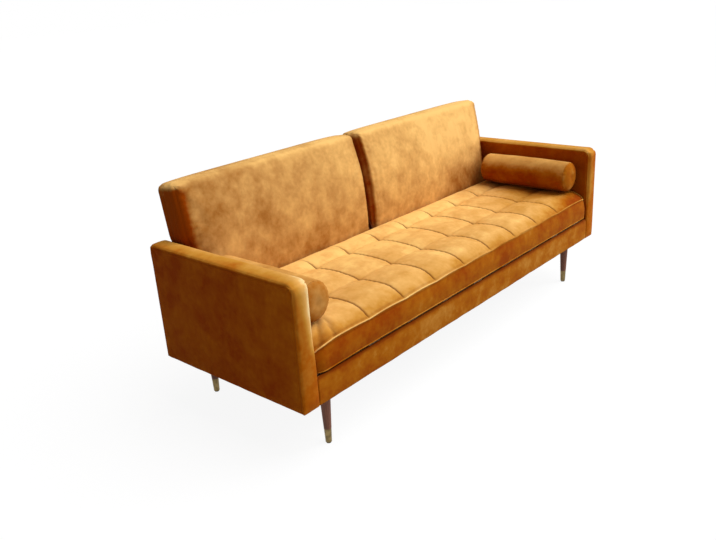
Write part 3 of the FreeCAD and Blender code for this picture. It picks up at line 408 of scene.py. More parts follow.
@dataclass(frozen=True)
class Palette:
    """Every finish on the sofa, made once and shared by its pieces."""

    seat: Velvet = Velvet(
        "velvet_seat",
        stroke=(30.0, 14.0, 30.0),
        contrast=1.25,
        ochre=(0.62, 0.28, 0.045),
        gold=(0.84, 0.455, 0.132),
        wear_and_highlight=(0.97, 0.6, 0.19),
    )
    back: Velvet = Velvet(
        "velvet_back",
        stroke=(30.0, 30.0, 14.0),
        contrast=1.7,
        rust=(0.41, 0.165, 0.032),
        ochre=(0.6, 0.3, 0.085),
        gold=(0.84, 0.475, 0.145),
        wear_and_highlight=(0.95, 0.56, 0.18),
    )
    # Arms' velvet: redder deep and rust tones paint their shaded outer panels; the cream top stop
    # paints the inner front highlight
    side: Velvet = Velvet(
        "velvet_side",
        stroke=(40.0, 40.0, 12.0),
        contrast=0.95,
        deep=(0.32, 0.045, 0.001),
        rust=(0.46, 0.114, 0.003),
        ochre=(0.62, 0.275, 0.035),
        wear_and_highlight=(1.0, 0.74, 0.36),
    )
    bolster: Velvet = Velvet("velvet_bolster", stroke=(30.0, 9.0, 30.0), contrast=1.2)
    timber: Timber = Timber(
        "frame_pine",
        grain=(3.0, 55.0, 55.0),
        dark=(0.46, 0.29, 0.14),
        light=(0.70, 0.53, 0.32),
        roughness=0.68,
    )
    walnut: Timber = Timber(
        "leg_walnut",
        grain=(95.0, 95.0, 7.0),
        dark=(0.1, 0.03, 0.013),
        light=(0.28, 0.094, 0.045),
        roughness=0.6,
    )
    brass: Metal = Metal(
        "ferrule_brass",
        clean=(0.26, 0.185, 0.08),
        tarnished=(0.11, 0.077, 0.033),
        drawn=(30.0, 30.0, 900.0),
        roughness=0.34,
        metallic=1.0,
        gloss=0.5,
    )
    steel: Metal = Metal(
        "hinge_steel",
        clean=(0.2, 0.055, 0.016),
        tarnished=(0.1, 0.028, 0.008),
        drawn=(60.0, 60.0, 60.0),
        roughness=0.65,
        metallic=0.0,
        gloss=0.12,
    )
    nylon: Fibre = Fibre("glide_nylon", (0.03, 0.03, 0.03), (0.07, 0.07, 0.07), 300.0, 0.5)
    # Dark rust so that the felt seen under the seat's front edge reads as shadow: partly painted
    # shade
    felt: Fibre = Fibre("deck_felt", (0.07, 0.018, 0.003), (0.12, 0.034, 0.007), 260.0, 0.95)
    dust: Fibre = Fibre("dust_cloth", (0.012, 0.012, 0.012), (0.045, 0.045, 0.045), 420.0, 0.9)

    def by_slot(self) -> dict[str, Finish]:
        """The finish of every CAD node that stays in view, by its record slot.

        Returns:
            The materials, by the slot's name in the record.
        """
        return {
            Slot.FRAME_TIMBER.value: self.timber.make(),
            Slot.LEG_WOOD.value: self.walnut.make(),
            Slot.BRASS.value: self.brass.make(),
            Slot.STEEL.value: self.steel.make(),
            Slot.NYLON.value: self.nylon.make(),
        }


def only(piece: Piece) -> None:
    """Leaves one piece selected and active.

    Args:
        piece: the piece.
    """
    bpy.ops.object.select_all(action="DESELECT")
    piece.select_set(True)
    bpy.context.view_layer.objects.active = piece


def added(operator: Callable, **options: object) -> Piece:
    """Adds one new object, with nothing else selected.

    Args:
        operator: the operator that adds the object.
        **options: the operator's settings.

    Returns:
        The new object.
    """
    bpy.ops.object.select_all(action="DESELECT")
    operator(**options)
    return bpy.context.object


def named(piece: Piece, name: str) -> Piece:
    """Names a piece and its mesh.

    Args:
        piece: the object to name.
        name: the name for it and for its mesh.

    Returns:
        The same object.
    """
    piece.name = name
    piece.data.name = name
    return piece


def edited(piece: Piece, *steps: Callable[[], object]) -> None:
    """Runs steps in edit mode, each on the whole of a piece's mesh.

    Args:
        piece: the piece to edit.
        *steps: what to run, with everything selected before each.
    """
    only(piece)
    bpy.ops.object.mode_set(mode="EDIT")
    for step in steps:
        bpy.ops.mesh.select_all(action="SELECT")
        step()
    bpy.ops.object.mode_set(mode="OBJECT")


def face_out() -> None:
    """Turns the selected faces outward."""
    bpy.ops.mesh.normals_make_consistent(inside=False)


def modified(piece: Piece, kind: str, **settings: float) -> None:
    """Applies one modifier to a piece.

    Args:
        piece: the piece.
        kind: the modifier's type name.
        **settings: the modifier's settings.
    """
    only(piece)
    modifier = piece.modifiers.new(kind.lower(), kind)
    for key, value in settings.items():
        setattr(modifier, key, value)
    bpy.ops.object.modifier_apply(modifier=modifier.name)


def smoothed(piece: Piece) -> None:
    """Shades a piece smooth."""
    only(piece)
    bpy.ops.object.shade_smooth()


def points_of(piece: Piece, what: str = "co") -> Points:
    """The piece's points, one row each, or their normals.

    Args:
        piece: the piece.
        what: "co" for the places or "normal" for the outward directions.

    Returns:
        A row of three numbers for each point.
    """
    flat = np.empty(len(piece.data.vertices) * 3)
    piece.data.vertices.foreach_get(what, flat)
    return flat.reshape(-1, 3)


def set_points(piece: Piece, points: Points) -> None:
    """Moves the piece's points."""
    piece.data.vertices.foreach_set("co", points.astype(np.float32).ravel())
    piece.data.update()


def mark(piece: Piece, name: str, values: Points) -> None:
    """Writes a number or a vector for each point into the piece's mesh.

    Args:
        piece: the piece.
        name: the name that a material reads it by.
        values: a number, or a row of three, for each point.
    """
    kind, key = ("FLOAT_VECTOR", "vector") if values.ndim == 2 else ("FLOAT", "value")
    layers = piece.data.attributes
    layer = layers.get(name) or layers.new(name, kind, "POINT")
    layer.data.foreach_set(key, values.astype(np.float32).ravel())


def near(distance: Points, width: float) -> Points:
    """A smooth hump, 1 at no distance and gone at about two widths."""
    return np.exp(-((distance / width) ** 2))


def ease(values: Points, low: float, high: float) -> Points:
    """A smooth step from 0 at low to 1 at high."""
    share = np.clip((values - low) / (high - low), 0.0, 1.0)
    return share * share * (3.0 - 2.0 * share)


def roll(distance: Points, width: float) -> Points:
    """A rolled edge: 1 at no distance, running out level at one width."""
    return np.clip(1.0 - distance / width, 0.0, 1.0) ** 2


def unrest(points: Points, size: float, shift: float = 0.0) -> Points:
    """Smooth uneven waves between about -1 and 1, of a size in metres."""
    offset = Vector((shift, 1.7 * shift, -0.6 * shift))
    return np.array([noise.noise(Vector(p) / size + offset) for p in points])


@dataclass(frozen=True)
class Hump:
    """A ridge, a groove or a line of shade: how strong it is, and how wide."""

    height: float
    width: float

    def at(self, distance: Points) -> Points:
        """Its strength at a distance from its middle."""
        return self.height * near(distance, self.width)


@dataclass(frozen=True)
class Ramp:
    """A smooth rise of a value between two coordinates."""

    height: float
    low: float
    high: float

    def at(self, values: Points) -> Points:
        """How far it has risen at each coordinate."""
        return self.height * ease(values, self.low, self.high)


@dataclass(frozen=True)
class Wave:
    """Soft unevenness of a skin: its height, its size, and where its pattern starts."""

    height: float
    size: float
    shift: float = 0.0

    def over(self, points: Points) -> Points:
        """Its height at each point."""
        return self.height * unrest(points, self.size, self.shift)


def spaced(stops: Sequence[float], steps: Sequence[int], crowd: float = 0.0) -> Points:
    """Coordinates that run from stop to stop and crowd together at each.

    Args:
        stops: the coordinates that the lines go through.
        steps: how many steps lie between each two stops.
        crowd: 0 for even steps, towards 1 for lines that gather at the stops.

    Returns:
        All the coordinates, both ends included.
    """
    runs = []
    for low, high, count in zip(stops, stops[1:], steps):
        share = np.arange(count) / count
        runs.append(low + (high - low) * (share - crowd * np.sin(math.tau * share) / math.tau))
    return np.append(np.concatenate(runs), stops[-1])


def rounded(points: Points, low: Points, high: Points, at_low: Points, at_high: Points) -> Points:
    """Rounds a block's edges by pulling its skin onto elliptical corners.

    Args:
        points: the block's points.
        low: the block's lowest corner.
        high: the block's highest corner.
        at_low: the radii at the low faces, along x, y and z.
        at_high: the radii at the high faces.

    Returns:
        The points of the rounded block.
    """
    low, high, at_low, at_high = (np.asarray(v, float) for v in (low, high, at_low, at_high))
    core = np.clip(points, low + at_low, high - at_high)
    radii = np.where(points < core, at_low, at_high)
    out = (points - core) / radii
    length = np.linalg.norm(out, axis=1)
    reach = np.abs(out).max(axis=1)
    scale = np.where(length > TINY, reach / np.maximum(length, TINY), 1.0)
    return core + out * scale[:, None] * radii


def corner(first: Points, second: Points) -> tuple[Points, Points]:
    """Bends a square corner round: both are distances past the corner's centre.

    Args:
        first: the distance past the centre one way, below 0 outside the corner.
        second: the distance past the centre the other way.

    Returns:
        The two distances after the bend.
    """
    inside = (first > 0) & (second > 0)
    length = np.maximum(np.hypot(first, second), TINY)
    scale = np.where(inside, np.maximum(first, second) / length, 1.0)
    return first * scale, second * scale


def grid(name: str, across: Points, along: Points) -> Piece:
    """A flat grid with a point where each two lines cross."""
    counts = {"x_subdivisions": len(across) - 1, "y_subdivisions": len(along) - 1}
    return named(added(bpy.ops.mesh.primitive_grid_add, size=2.0, **counts), name)


def lined(piece: Piece, across: Points, along: Points, up: Points) -> Points:
    """Where the points of a grid, or of its extruded layers, lie on the given lines.

    Args:
        piece: the grid or the extruded block.
        across: the x coordinates of its lines.
        along: the y coordinates.
        up: the z coordinates.

    Returns:
        The places of its points.
    """
    scale = [(len(across) - 1) / 2, (len(along) - 1) / 2, 1.0]
    i, j, k = ((points_of(piece) + [1.0, 1.0, 0.0]) * scale).round().astype(int).T
    return np.stack([across[i], along[j], up[k]], axis=1)


class Pad:
    """A padded piece in the making, from its plain block to the finished cover."""

    def __init__(self, piece: Piece, block: Points) -> None:
        """Takes up a plain mesh and keeps its block points in it."""
        self.piece = piece
        mark(piece, "block", block)

    @classmethod
    def on_lines(cls, name: str, across: Points, along: Points, up: Points) -> "Pad":
        """Models a block: a grid, extruded layer by layer and set on the given lines.

        Args:
            name: the piece's name.
            across: the x coordinates of its lines of points.
            along: the y coordinates.
            up: the z coordinates.

        Returns:
            The new pad.
        """
        piece = grid(name, across, along)
        lift = {"value": (0.0, 0.0, 1.0)}

        def layers() -> None:
            """Extrudes the grid once for each further level."""
            for _ in up[1:]:
                bpy.ops.mesh.extrude_region_move(TRANSFORM_OT_translate=lift)

        edited(piece, layers, face_out)
        set_points(piece, lined(piece, across, along, up))
        return cls(piece, points_of(piece))

    @property
    def block(self) -> Points:
        """Where each point lay on the plain block.

        Returns:
            The block points, one row each.
        """
        flat = np.empty(len(self.piece.data.vertices) * 3, np.float32)
        self.piece.data.attributes["block"].data.foreach_get("vector", flat)
        return flat.reshape(-1, 3).astype(float)

    def shape(self, rule: Rule) -> None:
        """Puts every point where the rule sends its block point."""
        set_points(self.piece, rule(self.block))

    def move(self, rule: Rule) -> None:
        """Moves every point from where it is now."""
        set_points(self.piece, rule(points_of(self.piece)))

    def carve(self, rule: Rule) -> None:
        """Moves the skin outwards by the rule's number for each block point."""
        heights = rule(self.block)[:, None]
        set_points(self.piece, points_of(self.piece) + points_of(self.piece, "normal") * heights)

    def swell(self, held: Points, pressure: float, cap: float) -> None:
        """Fills the cover by a cloth simulation and keeps the result in the mesh.

        Args:
            held: for each point, whether the seams or the frame hold it.
            pressure: the filling's pressure.
            cap: the furthest that a point may move, in metres.
        """
        before = points_of(self.piece)
        only(self.piece)
        group = self.piece.vertex_groups.new(name="held")
        group.add(np.flatnonzero(held).tolist(), 1.0, "REPLACE")
        cloth = self.piece.modifiers.new("filling", "CLOTH")
        cloth.settings.use_pressure = True
        cloth.settings.uniform_pressure_force = pressure
        cloth.settings.effector_weights.gravity = 0.0
        cloth.settings.vertex_group_mass = "held"
        cloth.collision_settings.use_collision = False
        for step in range(1, FILLING_STEPS + 1):
            bpy.context.scene.frame_set(step)
        bpy.ops.object.modifier_apply(modifier=cloth.name)
        self.piece.vertex_groups.clear()
        bpy.context.scene.frame_set(1)
        shift = points_of(self.piece) - before
        length = np.maximum(np.linalg.norm(shift, axis=1), TINY)
        shift *= (cap * np.tanh(length / cap) / length)[:, None]
        set_points(self.piece, before + shift)

    def refine(self) -> None:
        """Subdivides the cover once."""
        modified(self.piece, "SUBSURF", levels=1, render_levels=1)

    def dress(self, nap: Rule, crease: Rule) -> None:
        """Writes the painted light and shade on the pile and the painted shade in seams, and
        smooths the shading.

        Args:
            nap: gives the painted light and shade on the pile at the block points.
            crease: gives the painted shade in the seams and creases there.
        """
        mark(self.piece, "nap", nap(self.block))
        mark(self.piece, "crease", crease(self.block))
        smoothed(self.piece)

    def mirrored(self) -> Piece:
        """A copy of a right piece, with its own mesh, for the left end of the sofa.

        Returns:
            The left piece.
        """
        twin = self.piece.copy()
        twin.data = self.piece.data.copy()
        named(twin, self.piece.name.replace(Side.RIGHT.value, Side.LEFT.value))
        bpy.context.scene.collection.objects.link(twin)
        set_points(twin, points_of(twin) * [-1.0, 1.0, 1.0])
        edited(twin, bpy.ops.mesh.flip_normals)
        return twin

    def pair(
        self, nap: Callable[[Points, Side], Points], crease: Rule
    ) -> Iterator[tuple[str, Piece]]:
        """Dresses the mirrored left piece and then the right one, each with its own painted light.

        Args:
            nap: the painted light and shade on the pile at the block points of one side.
            crease: the painted shade in the seams.

        Yields:
            The side's word and its piece.
        """
        for side in Side:
            self.dress(partial(nap, side=side), crease)
            yield side.value, self.mirrored() if side is Side.LEFT else self.piece


def hand_over(
    piece: Piece,
    body: str,
    slot: Slot,
    finish: Finish,
    nodes: Sequence[str] = (),
) -> None:
    """Gives a finished piece its finish and its body, and hides the CAD nodes that it replaces.

    Args:
        piece: the finished piece.
        body: the body that it moves with.
        slot: the record's material slot; not used.
        finish: the material.
        nodes: the CAD nodes that it replaces.
    """
    for name in ("block", "UVMap"):
        layer = piece.data.attributes.get(name)
        if layer is not None:
            piece.data.attributes.remove(layer)
    piece.data.materials.clear()
    piece.data.materials.append(finish)
    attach(piece, body)
    if nodes:
        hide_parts(*nodes)
    LOG.info("%s: %d faces on %s", piece.name, len(piece.data.polygons), body)


@dataclass
class SeatCushion:
    """The long seat cushion, stitched into three rows of nine puffs, with piping at its front."""

    half: float = 0.9565
    front: float = -0.354
    rear: float = 0.1868
    bottom: float = 0.317
    edge: float = 0.412
    crossing: float = 0.4405
    crest: float = 0.4572
    crest_give: float = 0.003
    end_give: float = 0.0005
    columns: tuple = (-0.679, -0.485, -0.291, -0.097, 0.097, 0.291, 0.485, 0.679)
    rows: tuple = (-0.144, 0.076)
    column_rise: float = 0.0085
    row_rise: float = 0.004
    puff_rise: float = 0.004
    front_bulge: float = 0.0105
    bulge_start: float = 0.12
    bulge_turn: float = 0.78
    front_roll: float = 0.085
    end_roll: float = 0.05
    end_drop: float = 0.007
    rear_roll: float = 0.01
    rear_drop: float = 0.018
    rear_lift: float = 0.005
    rear_foot: float = 0.427
    rear_slope: float = 3.0
    rear_filled: float = 0.85
    filled_from: float = 0.015
    filled_to: float = 0.03
    fold: float = 0.008
    foot_held: float = 0.012
    dip_slope: float = 0.0045
    dip_reach: float = 0.12
    corner_dip: float = 0.015
    right_dip: float = 0.15
    left_corner: float = 0.052
    right_corner: float = 0.03
    gathered: float = 0.15
    wrinkle_count: float = 21.0
    wrinkle_twist: float = 20.0
    wrinkle_reach: Ramp = Ramp(1.0, 0.05, 0.11)
    left_wrinkle: float = 0.0036
    right_wrinkle: float = 0.0012
    droop: Hump = Hump(0.0048, 0.13)
    felt_front: float = -0.3512
    button: float = 0.012
    crease: Hump = Hump(0.0028, 0.0036)
    row_crease: Hump = Hump(0.0009, 0.006)
    dimple: Hump = Hump(0.0042, 0.015)
    gather: Hump = Hump(0.0006, 0.02)
    gather_rate: float = 260.0
    gather_drift: Wave = Wave(3.0, 0.05)
    broad: Wave = Wave(0.0012, 0.07)
    fine: Wave = Wave(0.0006, 0.022, 4.0)
    dot_shade: Hump = Hump(0.35, 0.012)
    line_shade: Hump = Hump(0.8, 0.0036)
    row_shade: Hump = Hump(0.08, 0.005)
    seam_shade: Hump = Hump(0.3, 0.003)
    seam_inset: float = 0.0065
    band_shade: Hump = Hump(0.45, 0.003)
    band_inset: float = 0.0055
    foot_shade: Hump = Hump(0.8, 0.006)
    wrinkle_shade: float = 120.0
    # Painted shade on the front band, and a painted highlight on the fold at its foot
    band_shade_level: float = NapAndLight.FACE - 0.14
    foot_highlight: Hump = Hump(0.1, 0.006)
    # Painted shade on the front roll, the front corners and towards the right bolster; lighter at
    # the rear
    front_duller: Ramp = Ramp(0.34, -0.06, -0.002)
    corner_duller: Hump = Hump(0.2, 0.1)
    right_duller: Ramp = Ramp(0.22, 0.35, 0.92)
    end_duller: Ramp = Ramp(0.4, 0.58, 0.92)
    end_open: Ramp = Ramp(0.8, -0.1, 0.1)
    rear_lighter: Ramp = Ramp(0.2, -0.1, 0.06)
    seam_fading: Ramp = Ramp(0.8, -0.5, 0.3)
    plain_piping: float = NapAndLight.FACE + 0.12
    lower_piping: float = 0.0065
    piping_return: float = 0.12
    piping_inset: float = 0.0016

    def cell(self, values: Points, low: float, high: float, seams: tuple) -> Points:
        """Where each value lies between its two seams, from -1 to 1.

        Args:
            values: coordinates across the cells.
            low: the cushion's low edge.
            high: the cushion's high edge.
            seams: the stitch lines between.

        Returns:
            The place in the cell, 0 in its middle.
        """
        stops = np.array([low, *seams, high])
        index = np.clip(np.searchsorted(stops, values, side="right") - 1, 0, len(stops) - 2)
        return 2.0 * (values - stops[index]) / (stops[index + 1] - stops[index]) - 1.0

    def stitches(self, block: Points) -> tuple[Points, Points]:
        """How far each block point lies from the nearest column line and row line.

        Args:
            block: the points on the plain block, one row each.

        Returns:
            The two distances, in metres.
        """
        lines = (np.array(self.columns), np.array(self.rows))
        from_column, from_row = (
            np.abs(block[:, axis, None] - lines[axis]).min(axis=1) for axis in (0, 1)
        )
        return from_column, from_row

    def rise(self, x: Points, y: Points) -> Points:
        """The height of the top above its front seam.

        Args:
            x: the places across the sofa.
            y: the places along its depth.

        Returns:
            The height at each place, in metres.
        """
        a = self.cell(x, -self.half, self.half, self.columns)
        b = self.cell(y, self.front, self.rear, self.rows)
        over = 1.0 - a * a
        down = 1.0 - b * b
        over += (1.0 - over) * self.level_rear(y)
        puff = self.column_rise * down + self.row_rise * over + self.puff_rise * over * down
        drop = self.crossing - self.edge
        front = roll(y - self.front, self.front_roll) * drop
        end = roll(self.half - np.abs(x), self.end_roll) * self.end_drop
        rear = roll(self.rear - y, self.rear_roll) * self.rear_drop
        lift = self.rear_lift * ease(y, self.rows[1], self.rear - self.rear_roll)
        return drop + puff + lift - np.maximum(front, rear) - end

    def level_rear(self, y: Points) -> Points:
        """How far the hollows between puffs are filled under the backs, from 0 to 1."""
        low, high = self.rows[1] + self.filled_from, self.rear - self.filled_to
        return self.rear_filled * ease(y, low, high)

    def dip(self, x: Points, y: Points) -> Points:
        """How far the front seam hangs below its height, most at the corners.

        Args:
            x: the places across the sofa.
            y: the places along its depth.

        Returns:
            The drop at each place, in metres.
        """
        from_front = roll(y - self.front, self.front_roll)
        from_end = roll(self.half - np.abs(x), self.dip_reach)
        drop = np.where(x < 0.0, self.corner_dip, self.right_dip * self.corner_dip)
        return from_front * (drop * from_end - self.dip_slope * x / self.half)

    def form(self, block: Points) -> Points:
        """The cushion's form: puffed top, bulged front, folded lower edge, round front corners.

        Args:
            block: the points on the plain block, one row each.

        Returns:
            The shaped points.
        """
        x, y, z = block.T.copy()
        top = z > self.edge - HAIR
        at_front = y < self.front + HAIR
        height = (z - self.bottom) / (self.edge - self.bottom)
        lowness = self.bulge_start + (1.0 - self.bulge_start) * (1.0 - height)
        belly = self.front_bulge * np.sin(math.pi * lowness * self.bulge_turn)
        belly *= 1.0 - height**6
        past_fold = 1.0 - (z - self.bottom) / self.fold
        tuck = self.fold * (1.0 - np.sqrt(np.clip(1.0 - past_fold**2, 0, 1)))
        tuck = np.where(z < self.bottom + self.fold, tuck, 0.0)
        z = np.where(top, z + self.rise(x, y), z) - self.dip(x, y) * height
        z = z - self.droop.at(x + self.half) * at_front * (1.0 - height) ** 3
        y = np.where(at_front, y - belly + tuck, y)
        radius = np.where(x < 0.0, self.left_corner, self.right_corner)
        new_x, new_y = corner(np.abs(x) - self.half + radius, self.front + radius - y)
        x = np.sign(x) * (new_x + self.half - radius)
        y = self.front + radius - new_y
        return np.stack([x, y, z], axis=1)

    def held(self, block: Points) -> Points:
        """The points that stitches, seams or the deck hold while the cushion fills.

        Args:
            block: the points on the plain block, one row each.

        Returns:
            True for each point that is held.
        """
        x, y, z = block.T
        from_column, from_row = self.stitches(block)
        top = z > self.edge - HAIR
        side = (np.abs(x) > self.half - HAIR) | (y > self.rear - HAIR)
        at_rim = side | (y < self.front + HAIR)
        crossings = np.hypot(from_column, from_row) < self.button
        sewn = top & ((from_column < HAIR) | crossings | at_rim)
        return sewn | (z < self.bottom + self.foot_held) | side

    def seams(self, block: Points) -> Points:
        """How far the stitching pulls the top in: fine creases, dimples and small puckers.

        Args:
            block: the points on the plain block, one row each.

        Returns:
            How far each point moves outwards, in metres.
        """
        x, y, z = block.T
        from_column, from_row = self.stitches(block)
        top = ease(z, self.edge - 0.002, self.edge)
        crease = self.crease.at(from_column) * (1.0 - self.level_rear(y))
        crease += self.row_crease.at(from_row)
        dimple = self.dimple.at(np.hypot(from_column, from_row))
        gather = np.sin(y * self.gather_rate + self.gather_drift.over(block))
        gather *= self.gather.at(from_column)
        wrinkle = self.corner_wrinkles(x, y)
        loose = self.broad.over(block) + self.fine.over(block)
        return top * (loose + gather + wrinkle - crease - dimple) + (1.0 - top) * loose

    def corner_wrinkles(self, x: Points, y: Points) -> Points:
        """Small folds that fan out of the gathered front corners.

        Args:
            x: the places across the sofa.
            y: the places along its depth.

        Returns:
            Their height at each place, in metres.
        """
        past_x = np.abs(x) - (self.half - self.gathered)
        past_y = self.front + self.gathered - y
        reach = np.hypot(np.maximum(past_x, 0.0), np.maximum(past_y, 0.0))
        angle = np.arctan2(past_y, past_x)
        fan = np.cos(self.wrinkle_count * angle + self.wrinkle_twist * past_x)
        fan *= self.wrinkle_reach.at(reach)
        depth = np.where(x < 0.0, self.left_wrinkle, self.right_wrinkle)
        return depth * fan * ((past_x > 0) & (past_y > 0))

    def shade(self, block: Points) -> Points:
        """Painted shade in the stitch lines, behind and under the front piping, in the corner
        wrinkles and along the foot.

        Args:
            block: the points on the plain block, one row each.

        Returns:
            The darkness at each point, from 0 to about 1.
        """
        x, y, z = block.T
        from_column, from_row = self.stitches(block)
        dots = self.dot_shade.at(np.hypot(from_column, from_row))
        lines = self.line_shade.at(from_column) * (1.0 - 0.7 * self.level_rear(y))
        lines += self.row_shade.at(from_row)
        lines *= ease(y, self.front + 0.004, self.front + 0.014)
        lines += self.seam_shade.at(y - self.front - self.seam_inset) * self.sharp(x)
        lines += self.wrinkle_shade * np.maximum(-self.corner_wrinkles(x, y), 0.0)
        face = (y < self.front + HAIR) * self.sharp(x)
        under = self.band_shade.at(z - self.edge + self.band_inset) * face
        under += self.foot_shade.at(z - self.bottom)
        return np.where(z > self.edge - HAIR, np.maximum(dots, lines), under)

    def nap(self, block: Points) -> Points:
        """Painted light and shade: lit gold on top, shade on the front band, roll and corners and
        by the right bolster, lighter at the rear and along the foot.

        Args:
            block: the points on the plain block, one row each.

        Returns:
            The painted light and shade at each point.
        """
        x, y, z = block.T
        top = ease(z, self.edge - 0.006, self.edge)
        band = self.band_shade_level + self.foot_highlight.at(z - self.bottom)
        from_corner = np.hypot(self.half - np.abs(x), y - self.front)
        front = self.front_duller.at(self.front - y) + self.corner_duller.at(from_corner)
        right = self.right_duller.at(x) + self.end_duller.at(x) * (1.0 - self.end_open.at(y))
        return band + top * (NapAndLight.GOLD + self.rear_lighter.at(y) - band - front - right)

    def sharp(self, x: Points) -> Points:
        """How strongly the painted shade along the front seam and the piping's painted highlight
        show: fully at the left, faintly at the right.
        """
        return 1.0 - self.seam_fading.at(x)

    def pressed(self, points: Points) -> Points:
        """Keeps the cushion off the deck, the arms, the bolsters and the backs.

        Args:
            points: the points as they lie now, one row each.

        Returns:
            The points, held back where they reached too far.
        """
        x, y, z = points.T.copy()
        soft = self.crest - self.crest_give
        over = np.maximum(z - soft, 0.0)
        z = np.where(over > 0, soft + self.crest_give * np.tanh(over / self.crest_give), z)
        hung = np.where(y < self.felt_front, self.droop.height, 0.0)
        z = np.maximum(z, self.bottom - hung)
        x = np.clip(x, -self.half - self.end_give, self.half + self.end_give)
        above = np.maximum(z - self.rear_foot, 0.0)
        y = np.minimum(y, self.rear - above / self.rear_slope)
        return np.stack([x, y, z], axis=1)

    def build(self, velvet: Finish) -> None:
        """Models, fills and finishes the cushion and its piping.

        Args:
            velvet: the cover's material.
        """
        x_stops = (-self.half, *self.columns, self.half)
        across = spaced(x_stops, (20, *(16,) * 7, 20), 0.72)
        along = spaced((self.front, *self.rows, self.rear), (20, 18, 12), 0.6)
        middle = (self.bottom + self.edge) / 2
        up = spaced((self.bottom, self.bottom + self.fold, middle, self.edge), (3, 4, 6), 0.2)
        pad = Pad.on_lines("seat_cushion", across, along, up)
        pad.shape(self.form)
        pad.swell(self.held(pad.block), pressure=3.0, cap=0.006)
        pad.refine()
        pad.carve(self.seams)
        pad.move(self.pressed)
        pad.dress(self.nap, self.shade)
        hand_over(pad.piece, "base", Slot.VELVET, velvet, ("seat_cover", "seat_foam"))
        low = self.bottom + self.lower_piping
        # Painted highlight along the upper piping, strongest at the left
        self.pipe("seat_piping", self.edge, (-0.0018, 0.0012), 0.0026, NapAndLight.RUBBED, velvet)
        self.pipe("seat_lower_piping", low, (-0.0003, 0.0), 0.002, self.plain_piping, velvet)

    def pipe(
        self,
        name: str,
        level: float,
        out: tuple,
        radius: float,
        nap: float,
        velvet: Finish,
    ) -> None:
        """Sews a piping along the front and round its two corners.

        Args:
            name: the piping's name.
            level: the height of its seam on the plain block.
            out: how far it stands off the seam, along y and z.
            radius: the piping's radius.
            nap: its tone level; the top levels paint a highlight on it.
            velvet: its cover.
        """
        side = np.linspace(self.front + self.piping_return, self.front, 16)[:-1]
        run = np.linspace(-self.half, self.half, 190)
        ends = np.full(len(side), self.half)
        x = np.concatenate([-ends, run, ends])
        y = np.concatenate([side, np.full(len(run), self.front), side[::-1]])
        path = self.form(np.stack([x, y, np.full(len(x), level)], axis=1))
        path = path * [1.0 - self.piping_inset / self.half, 1.0, 1.0] + [0.0, *out]
        curve = added(bpy.ops.curve.primitive_nurbs_path_add).data
        curve.splines.clear()
        spline = curve.splines.new("NURBS")
        spline.points.add(len(path) - 1)
        for point, place in zip(spline.points, path):
            point.co = (*place, 1.0)
        spline.order_u = 3
        spline.use_endpoint_u = True
        spline.resolution_u = 3
        curve.dimensions = "3D"
        curve.bevel_depth = radius
        curve.bevel_resolution = 2
        curve.use_fill_caps = True
        bpy.ops.object.convert(target="MESH")
        piece = named(bpy.context.object, name)
        sharp = self.sharp(points_of(piece)[:, 0])
        mark(piece, "nap", self.plain_piping + (nap - self.plain_piping) * sharp)
        smoothed(piece)
        hand_over(piece, "base", Slot.VELVET, velvet)


